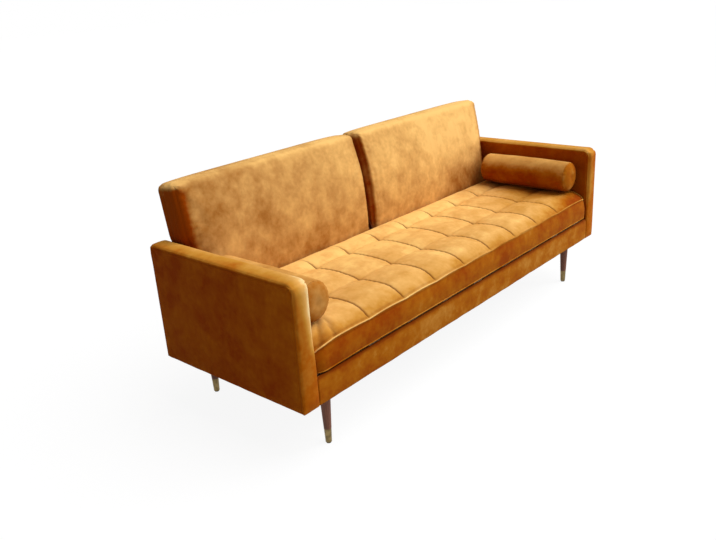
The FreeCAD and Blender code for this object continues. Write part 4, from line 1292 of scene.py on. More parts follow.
@dataclass
class BackPad:
    """One upholstered back: crowned front, boxed edges and a sewn rear panel, on its hinge."""

    low_x: float = 0.013
    high_x: float = 0.947
    nose: float = 0.022
    rear: float = 0.086
    bottom: float = -0.022
    top: float = 0.455
    crown: float = 0.025
    crown_foot: float = 0.012
    crown_margin: float = 0.03
    inner_fade: float = 0.08
    pivot_y: float = 0.212764
    pivot_z: float = 0.412
    lean: float = math.radians(9.0)
    inner_radius: float = 0.018
    outer_radius: float = 0.026
    front_radius: float = 0.036
    top_radius: float = 0.025
    foot_radius: float = 0.021
    rear_radius: float = 0.014
    end_fullness: Ramp = Ramp(0.009, 0.22, 0.27)
    top_fullness: float = 0.006
    fullness_run: float = 0.06
    box_front: float = 0.014
    box_seam: float = 0.052
    panel_margin: float = 0.03
    frame_held: float = 0.02
    clearance: float = 0.0002
    boxing: float = 0.004
    box_groove: Hump = Hump(0.0015, 0.0034)
    panel_groove: Hump = Hump(0.002, 0.003)
    end_fold: Hump = Hump(0.0016, 0.006)
    end_fold_pitch: float = 0.04
    gather: Hump = Hump(0.0008, 0.02)
    gather_inset: float = 0.032
    gather_pitch: float = 0.026
    gather_drift: Wave = Wave(2.5, 0.05)
    pucker: Hump = Hump(0.0007, 0.025)
    pucker_reach: float = 0.02
    pucker_count: float = 13.0
    broad: Wave = Wave(0.0024, 0.15, 2.0)
    fine: Wave = Wave(0.0009, 0.045, 7.0)
    upright: Wave = Wave(0.0007, 0.05, 1.0)
    seam_shade: float = 0.3
    # Painted shade: darker towards the foot and on the end faces
    foot_duller: Ramp = Ramp(0.2, -0.22, 0.0)
    end_light_level: float = NapAndLight.DEEP - 0.14
    # Painted light and shade: lighter at the left back's inner end, lighter on the right back, the
    # bolster's shadow low on its outer end
    left_tilt: float = 0.15
    right_lighter: float = 0.2
    right_shaded: Ramp = Ramp(0.45, 0.42, 0.75)
    right_gold: Ramp = Ramp(0.2, 0.2, 0.45)

    @property
    def middle(self) -> float:
        """The middle of the back across the sofa."""
        return (self.low_x + self.high_x) / 2

    def form(self, block: Points) -> Points:
        """The back's form before it leans: rounded block with a crowned front.

        Args:
            block: the points on the plain block, one row each.

        Returns:
            The shaped points.
        """
        low = (self.low_x, -self.nose, self.bottom)
        high = (self.high_x, self.rear, self.top)
        at_low = (self.inner_radius, self.front_radius, self.foot_radius)
        at_high = (self.outer_radius, self.rear_radius, self.top_radius)
        x, d, h = rounded(block, low, high, at_low, at_high).T
        across = np.clip(np.abs(x - self.middle) / (self.high_x - self.middle), 0, 1)
        up = np.clip((h - self.crown_foot) / (self.top - self.crown_margin), 0, 1) * 2 - 1
        fade = np.where(x > self.middle, across**7, self.inner_fade * across**10)
        swell = (1 - fade) * (1 - up * up)
        at_end = ease(x, self.high_x - self.fullness_run, self.high_x)
        at_top = ease(h, self.top - self.fullness_run, self.top)
        new_x = x + self.end_fullness.at(h) * at_end
        new_d = d - self.crown * swell * ease(-d, -self.crown_margin, self.nose)
        new_h = h + self.top_fullness * (1 - across**8) * at_top
        return np.stack([new_x, new_d, new_h], axis=1)

    def from_end(self, block: Points) -> Points:
        """The distance of each block point from the nearer end."""
        return np.minimum(block[:, 0] - self.low_x, self.high_x - block[:, 0])

    def rim(self, block: Points) -> Points:
        """The distance of each block point from the ends or the top, whichever is nearer."""
        return np.minimum(self.from_end(block), self.top - block[:, 2])

    def held(self, block: Points) -> Points:
        """The points that the frame and the seams hold while the pad fills.

        Args:
            block: the points on the plain block, one row each.

        Returns:
            True for each point that is held.
        """
        _, d, h = block.T
        boxed = (self.rim(block) < HAIR) & (d > self.box_front - HAIR)
        return (d > self.rear - self.frame_held) | (h < self.frame_held) | boxed

    def sewn(self, block: Points) -> tuple[Points, Points]:
        """Where the boxing and the rear panel are: true on the skin that each seam crosses."""
        boxing = self.rim(block) < self.boxing
        return boxing, (block[:, 1] > self.rear - HAIR) & (block[:, 2] > 0)

    def seams(self, block: Points) -> Points:
        """How the sewing shapes the skin: boxing seams, rear panel, corner puckers, soft waves.

        Args:
            block: the points on the plain block, one row each.

        Returns:
            How far each point moves outwards, in metres.
        """
        _, d, h = block.T
        boxing, at_rear = self.sewn(block)
        from_end = self.from_end(block)
        groove = self.box_groove.at(d - self.box_seam) * boxing
        panel = self.panel_groove.at(self.rim(block) - self.panel_margin) * at_rear
        folds = self.end_fold.at(from_end) * np.cos(d * math.tau / self.end_fold_pitch)
        gather = np.sin(h * math.tau / self.gather_pitch + self.gather_drift.over(block))
        folds += self.gather.at(from_end - self.gather_inset) * gather * ease(-d, -0.02, 0.01)
        angle = np.arctan2(self.top - h + 0.004, from_end + 0.004)
        reach = np.hypot(self.top - h, from_end)
        pucker = self.pucker.at(reach - self.pucker_reach) * np.cos(self.pucker_count * angle)
        pucker *= ease(-d, -0.03, 0.0)
        loose = self.broad.over(block) + self.fine.over(block)
        loose += self.upright.over(block * [3.0, 1.0, 0.5])
        return ease(-d, 0.0, self.nose) * loose + folds + pucker - groove - panel

    def shade(self, block: Points) -> Points:
        """How dark the seams lie.

        Args:
            block: the points on the plain block, one row each.

        Returns:
            The darkness at each point, from 0 to about 1.
        """
        boxing, at_rear = self.sewn(block)
        box = near(block[:, 1] - self.box_seam, 0.0028) * boxing
        panel = near(self.rim(block) - self.panel_margin, 0.0024) * at_rear
        return self.seam_shade * np.maximum(box, panel)

    def nap(self, block: Points, side: Side) -> Points:
        """Painted light and shade: mid on the front, lit gold along the top edge, shaded deep on
        the ends, darker at the foot and on the rear.

        Args:
            block: the points on the plain block, one row each.
            side: the end of the sofa that the piece is for.

        Returns:
            The painted light and shade at each point.
        """
        x, d, h = block.T
        front = NapAndLight.OPEN - self.foot_duller.at(-h)
        sides = ease(self.high_x - x, 0.002, 0.05) * ease(x - self.low_x, 0.002, 0.024)
        top = ease(h, self.top - 0.03, self.top)
        behind = ease(d, 0.03, self.rear)
        front += behind * (NapAndLight.FACE - front)
        level = self.end_light_level + sides * (front - self.end_light_level)
        level += top * (NapAndLight.GOLD - level) * (1.0 - 0.7 * behind)
        return level + self.painted_light(block, side)

    def painted_light(self, block: Points, side: Side) -> Points:
        """Painted light and shade: lighter towards the middle on the left back; on the right back,
        lighter and lit high up, with the bolster's shadow low on its outer end.

        Args:
            block: the points on the plain block, one row each.
            side: the end of the sofa that the piece is for.

        Returns:
            What is added to the painted light at each point.
        """
        x, d, h = block.T
        front = ease(-d, -0.01, self.nose)
        high = ease(h, 0.1, 0.3)
        if side is Side.LEFT:
            return self.left_tilt * front * high * (1.0 - 2.0 * ease(x, 0.1, 0.9))
        shaded = self.right_shaded.at(x) * (1.0 - high)
        return self.right_lighter + front * (self.right_gold.at(x) * high - shaded)

    def leaned(self, points: Points) -> Points:
        """Leans the upright pad about its hinge pin into its place on the sofa.

        Args:
            points: the points as they lie now, one row each.

        Returns:
            The leaning points.
        """
        x, d, h = points.T
        y = self.pivot_y + d * math.cos(self.lean) + h * math.sin(self.lean)
        z = self.pivot_z - d * math.sin(self.lean) + h * math.cos(self.lean)
        return np.stack([x, y, z], axis=1)

    def inside(self, points: Points) -> Points:
        """Keeps the pad within its ends, its rear plane and its rounded foot.

        Args:
            points: the points as they lie now, one row each.

        Returns:
            The points, held back where they reached too far.
        """
        x, d, h = points.T
        high = self.high_x - self.clearance + self.end_fullness.at(h)
        x = np.clip(x, self.low_x + self.clearance, high)
        d = np.minimum(d, self.rear)
        shorter = np.minimum(self.nose / np.maximum(np.hypot(d, h), TINY), 1.0)
        scale = np.where((h < 0.0) & (d < 0), shorter, 1.0)
        return np.stack([x, d * scale, np.maximum(h * scale, self.bottom)], axis=1)

    def build(self, velvet: Finish) -> None:
        """Models, fills and finishes the right back and its twin on the left.

        Args:
            velvet: the cover's material.
        """
        ends = (self.low_x, self.low_x + 0.045, self.high_x - 0.045, self.high_x)
        across = spaced(ends, (11, 64, 11))
        depth = spaced((-self.nose, self.box_front, self.box_seam, self.rear), (9, 7, 7), 0.2)
        up = spaced((self.bottom, 0.0, self.top - 0.034, self.top), (7, 34, 10))
        pad = Pad.on_lines("right_back_pad", across, depth, up)
        pad.shape(self.form)
        pad.swell(self.held(pad.block), pressure=2.5, cap=0.003)
        pad.refine()
        pad.carve(self.seams)
        pad.move(self.inside)
        pad.move(self.leaned)
        for word, piece in pad.pair(self.nap, self.shade):
            nodes = (f"{word}_back_cover", f"{word}_back_foam", f"{word}_back_panel")
            hand_over(piece, f"{word}_back", Slot.VELVET, velvet, nodes)


@dataclass
class ArmPad:
    """One boxed arm: two side panels sewn to a band that runs over its top and down its ends."""

    inner: float = 0.958
    outer: float = 1.030
    front: float = -0.366
    rear: float = 0.354
    bottom: float = 0.210
    top: float = 0.652
    inner_radius: float = 0.018
    outer_radius: float = 0.008
    front_radius: float = 0.02
    edge_radius: float = 0.009
    foot_radius: float = 0.003
    foot_softness: float = 0.25
    front_corner: float = 0.034
    rear_corner: float = 0.016
    outer_fullness: float = 0.0035
    inner_fullness: float = 0.002
    band_fullness: float = 0.003
    front_fullness: float = 0.006
    clearance: float = 0.0001
    seam: float = 0.0105
    groove: Hump = Hump(0.0013, 0.0026)
    fold: Hump = Hump(0.0008, 0.003)
    fold_inset: float = 0.0065
    pucker: Hump = Hump(0.0012, 0.026)
    pucker_reach: float = 0.03
    pucker_count: float = 12.0
    tug: Hump = Hump(0.0009, 0.03)
    tug_reach: float = 0.012
    tug_count: float = 9.0
    broad: Wave = Wave(0.0013, 0.11, 5.0)
    fine: Wave = Wave(0.0006, 0.035, 9.0)
    seam_shade: Hump = Hump(0.1, 0.0024)
    # Painted light and shade: shaded outer panel lighter towards the front, lit band top, highlight
    # on the inner front edge
    outer_shade_level: float = NapAndLight.DEEP + 0.06
    front_lighter: Ramp = Ramp(0.1, -0.09, -0.004)
    top_lighter: float = 0.2
    left_gleam: float = NapAndLight.RUBBED + 0.12
    right_lit: float = 0.25
    right_crest: float = 0.15

    def outline(self, y: Points, z: Points) -> Points:
        """The distance of each block point from the arm's outline, its open foot left out."""
        return np.minimum(np.minimum(y - self.front, self.rear - y), self.top - z)

    def on_panel(self, x: Points) -> Points:
        """Whether each block point lies on one of the two side panels."""
        return (x > self.outer - HAIR) | (x < self.inner + HAIR)

    def form(self, block: Points) -> Points:
        """The arm's form: edges softened, panels faintly full, top corners round.

        Args:
            block: the points on the plain block, one row each.

        Returns:
            The shaped points.
        """
        low = (self.inner, self.front, self.bottom)
        high = (self.outer, self.rear, self.top)
        bx, by, bz = block.T
        rising = ease(bz, self.bottom + 0.14, self.top - 0.18)
        soft = self.foot_softness + (1 - self.foot_softness) * rising
        soft *= 1 - 0.5 * ease(bx, self.inner + 0.03, self.outer - 0.015)
        foot = np.full(len(block), self.foot_radius)
        at_low = np.stack([self.inner_radius * soft, self.front_radius * soft, foot], axis=1)
        at_high = (self.outer_radius, self.edge_radius, self.edge_radius)
        x, y, z = rounded(block, low, high, at_low, at_high).T
        u, v, w = np.clip(2 * (block - low) / np.subtract(high, low) - 1, -1, 1).T[[1, 2, 0]]
        full = (1 - u**4) * (1 - v**4)
        x = x + self.outer_fullness * full * (bx > self.outer - HAIR)
        x = x + self.inner_fullness * full * (bx < self.inner + HAIR)
        band = 1 - np.abs(w) ** 2.4
        z = z + self.band_fullness * band * (bz > self.top - HAIR)
        above_foot = ease(bz, self.bottom, self.bottom + 0.03)
        y = y - self.front_fullness * band * (by < self.front + HAIR) * above_foot
        y = y + self.band_fullness * band * (by > self.rear - HAIR)
        rounds = ((self.front, -1.0, self.front_corner), (self.rear, 1.0, self.rear_corner))
        for edge, sign, radius in rounds:
            new_y, new_z = corner(sign * (y - edge) + radius, z - self.top + radius)
            y = edge + sign * (new_y - radius)
            z = self.top - radius + new_z
        return np.stack([x, y, z], axis=1)

    def seams(self, block: Points) -> Points:
        """How the sewing shapes the skin: panel seams with a fold beside them, corner puckers.

        Args:
            block: the points on the plain block, one row each.

        Returns:
            How far each point moves outwards, in metres.
        """
        x, y, z = block.T
        rim = self.outline(y, z)
        side = self.on_panel(x)
        groove = self.groove.at(rim - self.seam) * side
        fold = self.fold.at(rim - self.seam + self.fold_inset) * side
        past_y = np.minimum(y - self.front, self.rear - y)
        reach = np.hypot(past_y, self.top - z)
        angle = np.arctan2(self.top - z + 0.002, past_y + 0.002)
        pucker = self.pucker.at(reach - self.pucker_reach) * np.cos(self.pucker_count * angle + 1.0)
        cross = np.minimum(x - self.inner, self.outer - x)
        tug = self.tug.at(reach - self.tug_reach) * np.cos(self.tug_count * angle)
        tug *= near(cross, 0.02)
        loose = self.broad.over(block) + self.fine.over(block)
        panel = side * ease(rim, 0.0, 0.02)
        outward = np.where(x < self.inner + HAIR, -0.2, 1.0)
        return panel * outward * np.abs(loose) + pucker * side + tug * ~side + fold - groove

    def shade(self, block: Points) -> Points:
        """How dark the panel seams lie."""
        x, y, z = block.T
        return self.seam_shade.at(self.outline(y, z) - self.seam) * self.on_panel(x)

    def nap(self, block: Points, side: Side) -> Points:
        """Painted light and shade: shaded deep outside and lighter towards the front, mid on the
        band and lit at its top, shaded inside, a painted highlight on the inner front edge.

        Args:
            block: the points on the plain block, one row each.
            side: the end of the sofa that the piece is for.

        Returns:
            The painted light and shade at each point.
        """
        x, y, z = block.T
        rim = self.outline(y, z)
        outside = ease(x, self.outer - 0.022, self.outer)
        inside = ease(-x, -self.inner - 0.004, -self.inner)
        shaded = self.outer_shade_level + self.front_lighter.at(self.front - y)
        level = NapAndLight.FACE + self.top_lighter * ease(z, self.top - 0.05, self.top - 0.004)
        level += outside * ease(rim, -0.004, 0.012) * (shaded - level)
        level += inside * ease(rim, 0.002, 0.012) * (NapAndLight.DULL - level)
        if side is Side.LEFT:
            return level + self.lit(block) * (self.left_gleam - level)
        crest = self.right_crest * ease(z, self.top - 0.02, self.top)
        return level + crest + self.right_lit * self.lit(block) * (NapAndLight.RUBBED - level)

    def lit(self, block: Points) -> Points:
        """How strongly the painted highlight lies along the inner edge of the front, from 0 to 1.

        Args:
            block: the points on the plain block, one row each.

        Returns:
            The share at each point.
        """
        x, y, z = block.T
        band = 1 - ease(self.outline(y, z), 0.002, 0.012)
        width = 0.016 + 0.02 * ease(z, self.bottom + 0.2, self.top - 0.03)
        fading = 1 - 0.65 * ease(y, self.front + 0.03, self.front + 0.12)
        along = ease(z, self.bottom + 0.15, self.top - 0.16) * fading
        return near((x - self.inner - 0.006) / width, 1.0) * band * along

    def build(self, velvet: Finish) -> None:
        """Models and finishes the right arm and its twin on the left.

        Args:
            velvet: the cover's material.
        """
        across = spaced((self.inner, self.inner + 0.018, self.outer - 0.014, self.outer), (6, 7, 5))
        y_stops = (self.front, self.front + 0.036, self.rear - 0.03, self.rear)
        along = spaced(y_stops, (12, 58, 10))
        z_stops = (self.bottom, self.bottom + 0.01, self.top - 0.036, self.top)
        up = spaced(z_stops, (3, 34, 12))
        pad = Pad.on_lines("right_arm_pad", across, along, up)
        pad.shape(self.form)
        pad.refine()
        pad.carve(self.seams)
        pad.move(lambda p: np.maximum(p, [self.inner + self.clearance, -1.0, self.bottom]))
        for word, piece in pad.pair(self.nap, self.shade):
            hand_over(piece, "base", Slot.VELVET, velvet, (f"{word}_arm_cover",))


@dataclass
class Bolster:
    """One round bolster with soft, gathered ends, lying on the seat against its arm."""

    axis_x: float = 0.8817
    axis_z: float = 0.5333
    front: float = -0.320
    rear: float = 0.1628
    radius: float = 0.076
    end_radius: float = 0.073
    end_depth: float = 0.03
    end_share: float = 0.24
    seam_share: float = 0.2
    squareness: float = 2.5
    slack: float = 0.0025
    seat: float = 0.4575
    arm: float = 0.9577
    seam: Hump = Hump(0.0016, 0.006)
    gather: Hump = Hump(0.0007, 0.05)
    gather_count: float = 26.0
    gather_drift: float = 4.0
    tuft: Hump = Hump(0.003, 0.03)
    wave: float = 0.0012
    seam_shade: Hump = Hump(0.4, 0.004)
    tuft_shade: Hump = Hump(0.2, 0.02)
    # Painted shade below where it lies on the seat; painted light on top, shade on the ends towards
    # the arm
    foot_shade: Ramp = Ramp(0.5, 0.45, 0.95)
    top_lighter: Ramp = Ramp(0.66, -0.05, 0.98)
    end_light_level: float = NapAndLight.OPEN - 0.12
    end_shaded: Ramp = Ramp(0.3, -0.3, 0.9)
    right_duller: float = 0.25

    def profile(self, share: Points) -> tuple[Points, Points]:
        """The outline that is turned about the axis.

        Args:
            share: the way along the outline, from 0 at the front pole to 1 at the rear pole.

        Returns:
            The place along the sofa's depth, and the radius there.
        """
        barrel = (self.rear - self.front) / 2 - self.end_depth
        from_pole = np.minimum(share, 1.0 - share)
        turn = np.clip(from_pole / self.end_share, 0.0, 1.0) * math.pi / 2
        power = 2.0 / self.squareness
        along = np.clip((from_pole - self.end_share) / (0.5 - self.end_share), 0.0, 1.0)
        place = barrel * (1.0 - along) + self.end_depth * np.cos(turn) ** power
        full = self.end_radius + (self.radius - self.end_radius) * (1 - (1 - along) ** 2)
        middle = (self.front + self.rear) / 2
        return middle + np.where(share < 0.5, -place, place), full * np.sin(turn) ** power

    def turned(self, cosine: Points, sine: Points, share: Points) -> Points:
        """The points of the turned outline, a little slack before the filling.

        Args:
            cosine: the cosine of each point's angle round the axis.
            sine: the sine of that angle.
            share: the way along the outline, from pole to pole.

        Returns:
            The turned points.
        """
        y, radius = self.profile(share)
        radius = radius - self.slack * ease(radius, 0.0, 0.05)
        return np.stack([self.axis_x + radius * cosine, y, self.axis_z + radius * sine], axis=1)

    def seams(self, block: Points) -> Points:
        """End seams drawn in, the gathers that run off them, and soft lengthwise waves.

        Args:
            block: the points on the plain block, one row each.

        Returns:
            How far each point moves outwards, in metres.
        """
        cosine, sine, share = block.T
        rings = np.minimum(share, 1.0 - share)
        from_seam = rings - self.seam_share
        angle = np.arctan2(sine, cosine)
        uneven = unrest(block * [1.0, 1.0, 3.0], 0.35)
        gathers = np.cos(self.gather_count * angle + self.gather_drift * uneven)
        gathers *= self.gather.at(from_seam)
        waves = self.wave * uneven * ease(rings, self.seam_share, 0.3)
        return gathers + waves - self.seam.at(from_seam) - self.tuft.at(rings)

    def resting(self, points: Points) -> Points:
        """Flattens the bolster where it lies on the seat and against the arm."""
        x, y, z = points.T
        return np.stack([np.minimum(x, self.arm), y, np.maximum(z, self.seat)], axis=1)

    def shade(self, block: Points) -> Points:
        """Painted shade in the end seams and tufts, and on the underside where the bolster lies on
        the seat.

        Args:
            block: the points on the plain block, one row each.

        Returns:
            The darkness at each point, from 0 to about 1.
        """
        _, sine, share = block.T
        rings = np.minimum(share, 1.0 - share)
        below = self.foot_shade.at(-sine) * ease(rings, 0.1, self.seam_share)
        sewn = self.seam_shade.at(rings - self.seam_share) + self.tuft_shade.at(rings)
        return np.maximum(below, sewn)

    def nap(self, block: Points, side: Side) -> Points:
        """Painted light and shade: lit on top, shaded deep below, the ends mid and darker towards
        the arm, the right bolster's ends darker still.

        Args:
            block: the points on the plain block, one row each.
            side: the end of the sofa that the piece is for.

        Returns:
            The painted light and shade at each point.
        """
        cosine, sine, share = block.T
        rings = np.minimum(share, 1.0 - share)
        at_end = 1.0 - ease(rings, 0.17, self.end_share)
        upward = NapAndLight.DEEP + self.top_lighter.at(sine)
        end_level = self.end_light_level - self.end_shaded.at(cosine) * ease(rings, 0.0, 0.15)
        level = upward + at_end * (end_level - upward)
        return level - self.right_duller * at_end if side is Side.RIGHT else level

    def build(self, velvet: Finish) -> None:
        """Models, fills and finishes the right bolster and its twin on the left.

        Args:
            velvet: the cover's material.
        """
        ball = added(bpy.ops.mesh.primitive_uv_sphere_add, segments=80, ring_count=72, radius=1.0)
        piece = named(ball, "right_bolster_pad")
        x, y, z = points_of(piece).T
        share = np.arccos(np.clip(z, -1, 1)) / math.pi
        angle = np.arctan2(y, x)
        pad = Pad(piece, np.stack([np.cos(angle), np.sin(angle), share], axis=1))
        set_points(piece, self.turned(np.cos(angle), np.sin(angle), share))
        edited(piece, face_out)
        rings = np.minimum(share, 1.0 - share)
        pad.swell(np.abs(rings - self.seam_share) < 0.004, pressure=2.5, cap=self.slack)
        pad.refine()
        pad.carve(self.seams)
        pad.move(self.resting)
        for word, piece in pad.pair(self.nap, self.shade):
            nodes = (f"{word}_bolster_cover", f"{word}_bolster_core")
            hand_over(piece, f"{word}_bolster", Slot.VELVET, velvet, nodes)


@dataclass
class Apron:
    """A padded strip of velvet over a rail, in front of the frame or behind it."""

    name: str
    node: str
    front: float
    rear: float
    top: float
    soft: float
    bulge: float
    faces_front: bool
    rail: float
    half: float = 0.9577
    bottom: float = 0.210
    lip: float = 0.0037
    upright: Wave = Wave(0.0009, 0.05, 3.0)
    broad: Wave = Wave(0.0008, 0.16, 6.0)
    # Painted shade along the strip's top, under the seat
    top_duller: Hump = Hump(0.2, 0.012)
    top_shade: Hump = Hump(0.75, 0.007)

    def depths(self) -> tuple:
        """The stops from front to rear: the face's wadding, and the lip turned under the rail."""
        return tuple(sorted({self.front, min(self.rail, self.rear), self.rear}))

    def form(self, block: Points) -> Points:
        """The strip's form: soft edges, a faintly full face and a lip under the rail.

        Args:
            block: the points on the plain block, one row each.

        Returns:
            The shaped points.
        """
        low = (-self.half, self.front, self.bottom)
        high = (self.half, min(self.rail, self.rear), self.top)
        soft = np.full(3, self.soft)
        out = rounded(block, low, high, soft, soft)
        _, y, z = block.T
        v = np.clip(2 * (z - self.bottom) / (self.top - self.bottom) - 1, -1, 1)
        full = self.bulge * (1 - v**4)
        if self.faces_front:
            out[:, 1] -= full * (y < self.front + HAIR)
        else:
            out[:, 1] += full * (y > self.rear - HAIR)
        tucked = self.bottom + (out[:, 2] - self.bottom) * self.lip / (self.top - self.bottom)
        out[:, 2] = np.where(y > self.rail + HAIR, tucked, out[:, 2])
        return out

    def seams(self, block: Points) -> Points:
        """Shallow upright waves where the velvet is pulled over the rail."""
        return self.upright.over(block * [1.0, 1.0, 0.35]) + self.broad.over(block)

    def nap(self, block: Points) -> Points:
        """Painted shade: a dull face, darker at its top in the seat's shadow."""
        return NapAndLight.FACE - self.top_duller.at(block[:, 2] - self.top)

    def shade(self, block: Points) -> Points:
        """Painted shadow of the seat along the strip's top."""
        return self.top_shade.at(block[:, 2] - self.top)

    def inside(self, points: Points) -> Points:
        """Keeps the strip off the rail, the arms and the cushion.

        Args:
            points: the points as they lie now, one row each.

        Returns:
            The points, held back where they reached too far.
        """
        x, y, z = points.T
        y = np.minimum(y, self.rear) if self.faces_front else np.maximum(y, self.front)
        return np.stack([np.clip(x, -self.half, self.half), y, np.minimum(z, self.top)], axis=1)

    def build(self, velvet: Finish) -> None:
        """Models and finishes the strip.

        Args:
            velvet: the cover's material.
        """
        ends = (-self.half, -self.half + 0.02, self.half - 0.02, self.half)
        across = spaced(ends, (6, 130, 6))
        along = spaced(self.depths(), (5, 3)[: len(self.depths()) - 1])
        up = spaced((self.bottom, self.bottom + 0.012, self.top - 0.012, self.top), (4, 9, 4))
        pad = Pad.on_lines(self.name, across, along, up)
        pad.shape(self.form)
        pad.refine()
        pad.carve(self.seams)
        pad.move(self.inside)
        pad.dress(self.nap, self.shade)
        hand_over(pad.piece, "base", Slot.VELVET, velvet, (self.node,))


@dataclass
class Underside:
    """The dust cloth under the frame with its staples, and the felt on the seat deck."""

    half: float = 0.9575
    front: float = -0.3335
    rear: float = 0.346
    level: float = 0.2132
    sag: float = 0.0022
    sag_middle: float = 0.006
    sag_reach: float = 0.34
    creases: Wave = Wave(0.0005, 0.06)
    leg_x: float = 0.8675
    leg_y: tuple = (-0.298, 0.306)
    opening: float = 0.036
    staple: Triple = (0.011, 0.0013, 0.0009)
    staple_edge: float = 0.00035
    staple_depth: float = 0.0012
    staple_gap: float = 0.085
    staple_run: float = 0.8
    staple_inset: float = 0.01
    end_inset: float = 0.012
    felt_soft: float = 0.0022

    def build(
        self, dust: Finish, felt: Finish, steel: Finish
    ) -> None:
        """Models the dust cloth, its staples and the deck felt.

        Args:
            dust: the dust cloth's material.
            felt: the felt's material.
            steel: the staples' material.
        """
        self.cloth(dust)
        self.staples(steel)
        self.deck(felt)

    def cloth(self, dust: Finish) -> None:
        """The stretched sheet, cut out round the leg plates and faintly slack between the rails.

        Args:
            dust: the dust cloth's material.
        """
        inner, outer = self.leg_x - self.opening, self.leg_x + self.opening
        across = spaced((-self.half, -outer, -inner, inner, outer, self.half), (4, 4, 60, 4, 4))
        cuts = [leg + side for leg in self.leg_y for side in (-self.opening, self.opening)]
        stops = sorted({self.front, *np.clip(cuts, self.front, self.rear), self.rear})
        counts = [4 if high - low < 0.1 else 24 for low, high in zip(stops, stops[1:])]
        along = spaced(stops, counts)
        piece = grid("dust_cloth_sheet", across, along)
        flat = lined(piece, across, along, np.zeros(1))
        x, y, _ = flat.T
        across_fall = 1 - (x / self.half) ** 6
        hang = across_fall * (1 - ((y - self.sag_middle) / self.sag_reach) ** 4)
        z = self.level - self.sag * hang + self.creases.over(flat) * (1 - hang * 0.5)
        set_points(piece, np.stack([x, y, z], axis=1))
        self.cut_out(piece)
        smoothed(piece)
        hand_over(piece, "base", Slot.DUST_CLOTH, dust, ("dust_cover",))

    def cut_out(self, piece: Piece) -> None:
        """Deletes the faces over the four leg plates and turns the rest face down.

        Args:
            piece: the sheet.
        """
        only(piece)
        bpy.ops.object.mode_set(mode="EDIT")
        bpy.ops.mesh.select_mode(type="FACE")
        bpy.ops.mesh.select_all(action="DESELECT")
        bpy.ops.object.mode_set(mode="OBJECT")
        for face in piece.data.polygons:
            x, y, _ = face.center
            far = min(abs(y - leg) for leg in self.leg_y)
            face.select = max(abs(abs(x) - self.leg_x), far) < self.opening
        bpy.ops.object.mode_set(mode="EDIT")
        bpy.ops.mesh.delete(type="FACE")
        bpy.ops.object.mode_set(mode="OBJECT")
        edited(piece, bpy.ops.mesh.flip_normals)

    def staples(self, steel: Finish) -> None:
        """A row of flat staples along the cloth's four edges, modelled once and repeated.

        Args:
            steel: the staples' material.
        """
        name = "dust_cloth_staples"
        piece = named(added(bpy.ops.mesh.primitive_cube_add, size=1.0), name)
        set_points(piece, points_of(piece) * self.staple)
        modified(piece, "BEVEL", width=self.staple_edge, segments=1)
        one = points_of(piece)
        turned = one[:, [1, 0, 2]]
        low = self.level - self.staple_depth
        xs = np.arange(-self.staple_run, self.staple_run + HAIR, self.staple_gap)
        ys = np.arange(-0.22, 0.23 + HAIR, self.staple_gap)
        edges = (self.front + self.staple_inset, self.rear - self.staple_inset)
        ends = (-self.half + self.end_inset, self.half - self.end_inset)
        rows = [one + [x, y, low] for x in xs for y in edges]
        rows += [turned + [x, y, low] for y in ys for x in ends]
        faces = [list(face.vertices) for face in piece.data.polygons]
        starts = [len(one) * copy for copy in range(len(rows))]
        every = [[start + index for index in face] for start in starts for face in faces]
        piece.data = bpy.data.meshes.new(name)
        piece.data.from_pydata(np.concatenate(rows).tolist(), [], every)
        edited(piece, face_out)
        hand_over(piece, "base", Slot.STEEL, steel)

    def deck(self, felt: Finish) -> None:
        """The thin felt between the seat deck and the cushion.

        Args:
            felt: the felt's material.
        """
        low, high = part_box("deck_pad")
        # Widened to the frame's ends, over the end rails' gap, where its dark colour shows as
        # shadow
        low = Vector((-self.half + 0.0005, low.y - 0.0008, low.z))
        high = Vector((self.half - 0.0005, high.y, high.z))
        across = spaced((low.x, high.x), (120,))
        along = spaced((low.y, high.y), (36,))
        up = spaced((low.z, high.z), (3,))
        soft = np.full(3, self.felt_soft)
        pad = Pad.on_lines("deck_felt", across, along, up)
        pad.shape(lambda block: rounded(block, low, high, soft, soft))
        pad.carve(lambda block: -0.0003 * np.abs(unrest(block, 0.03)))
        smoothed(pad.piece)
        hand_over(pad.piece, "base", Slot.FELT, felt, ("deck_pad",))


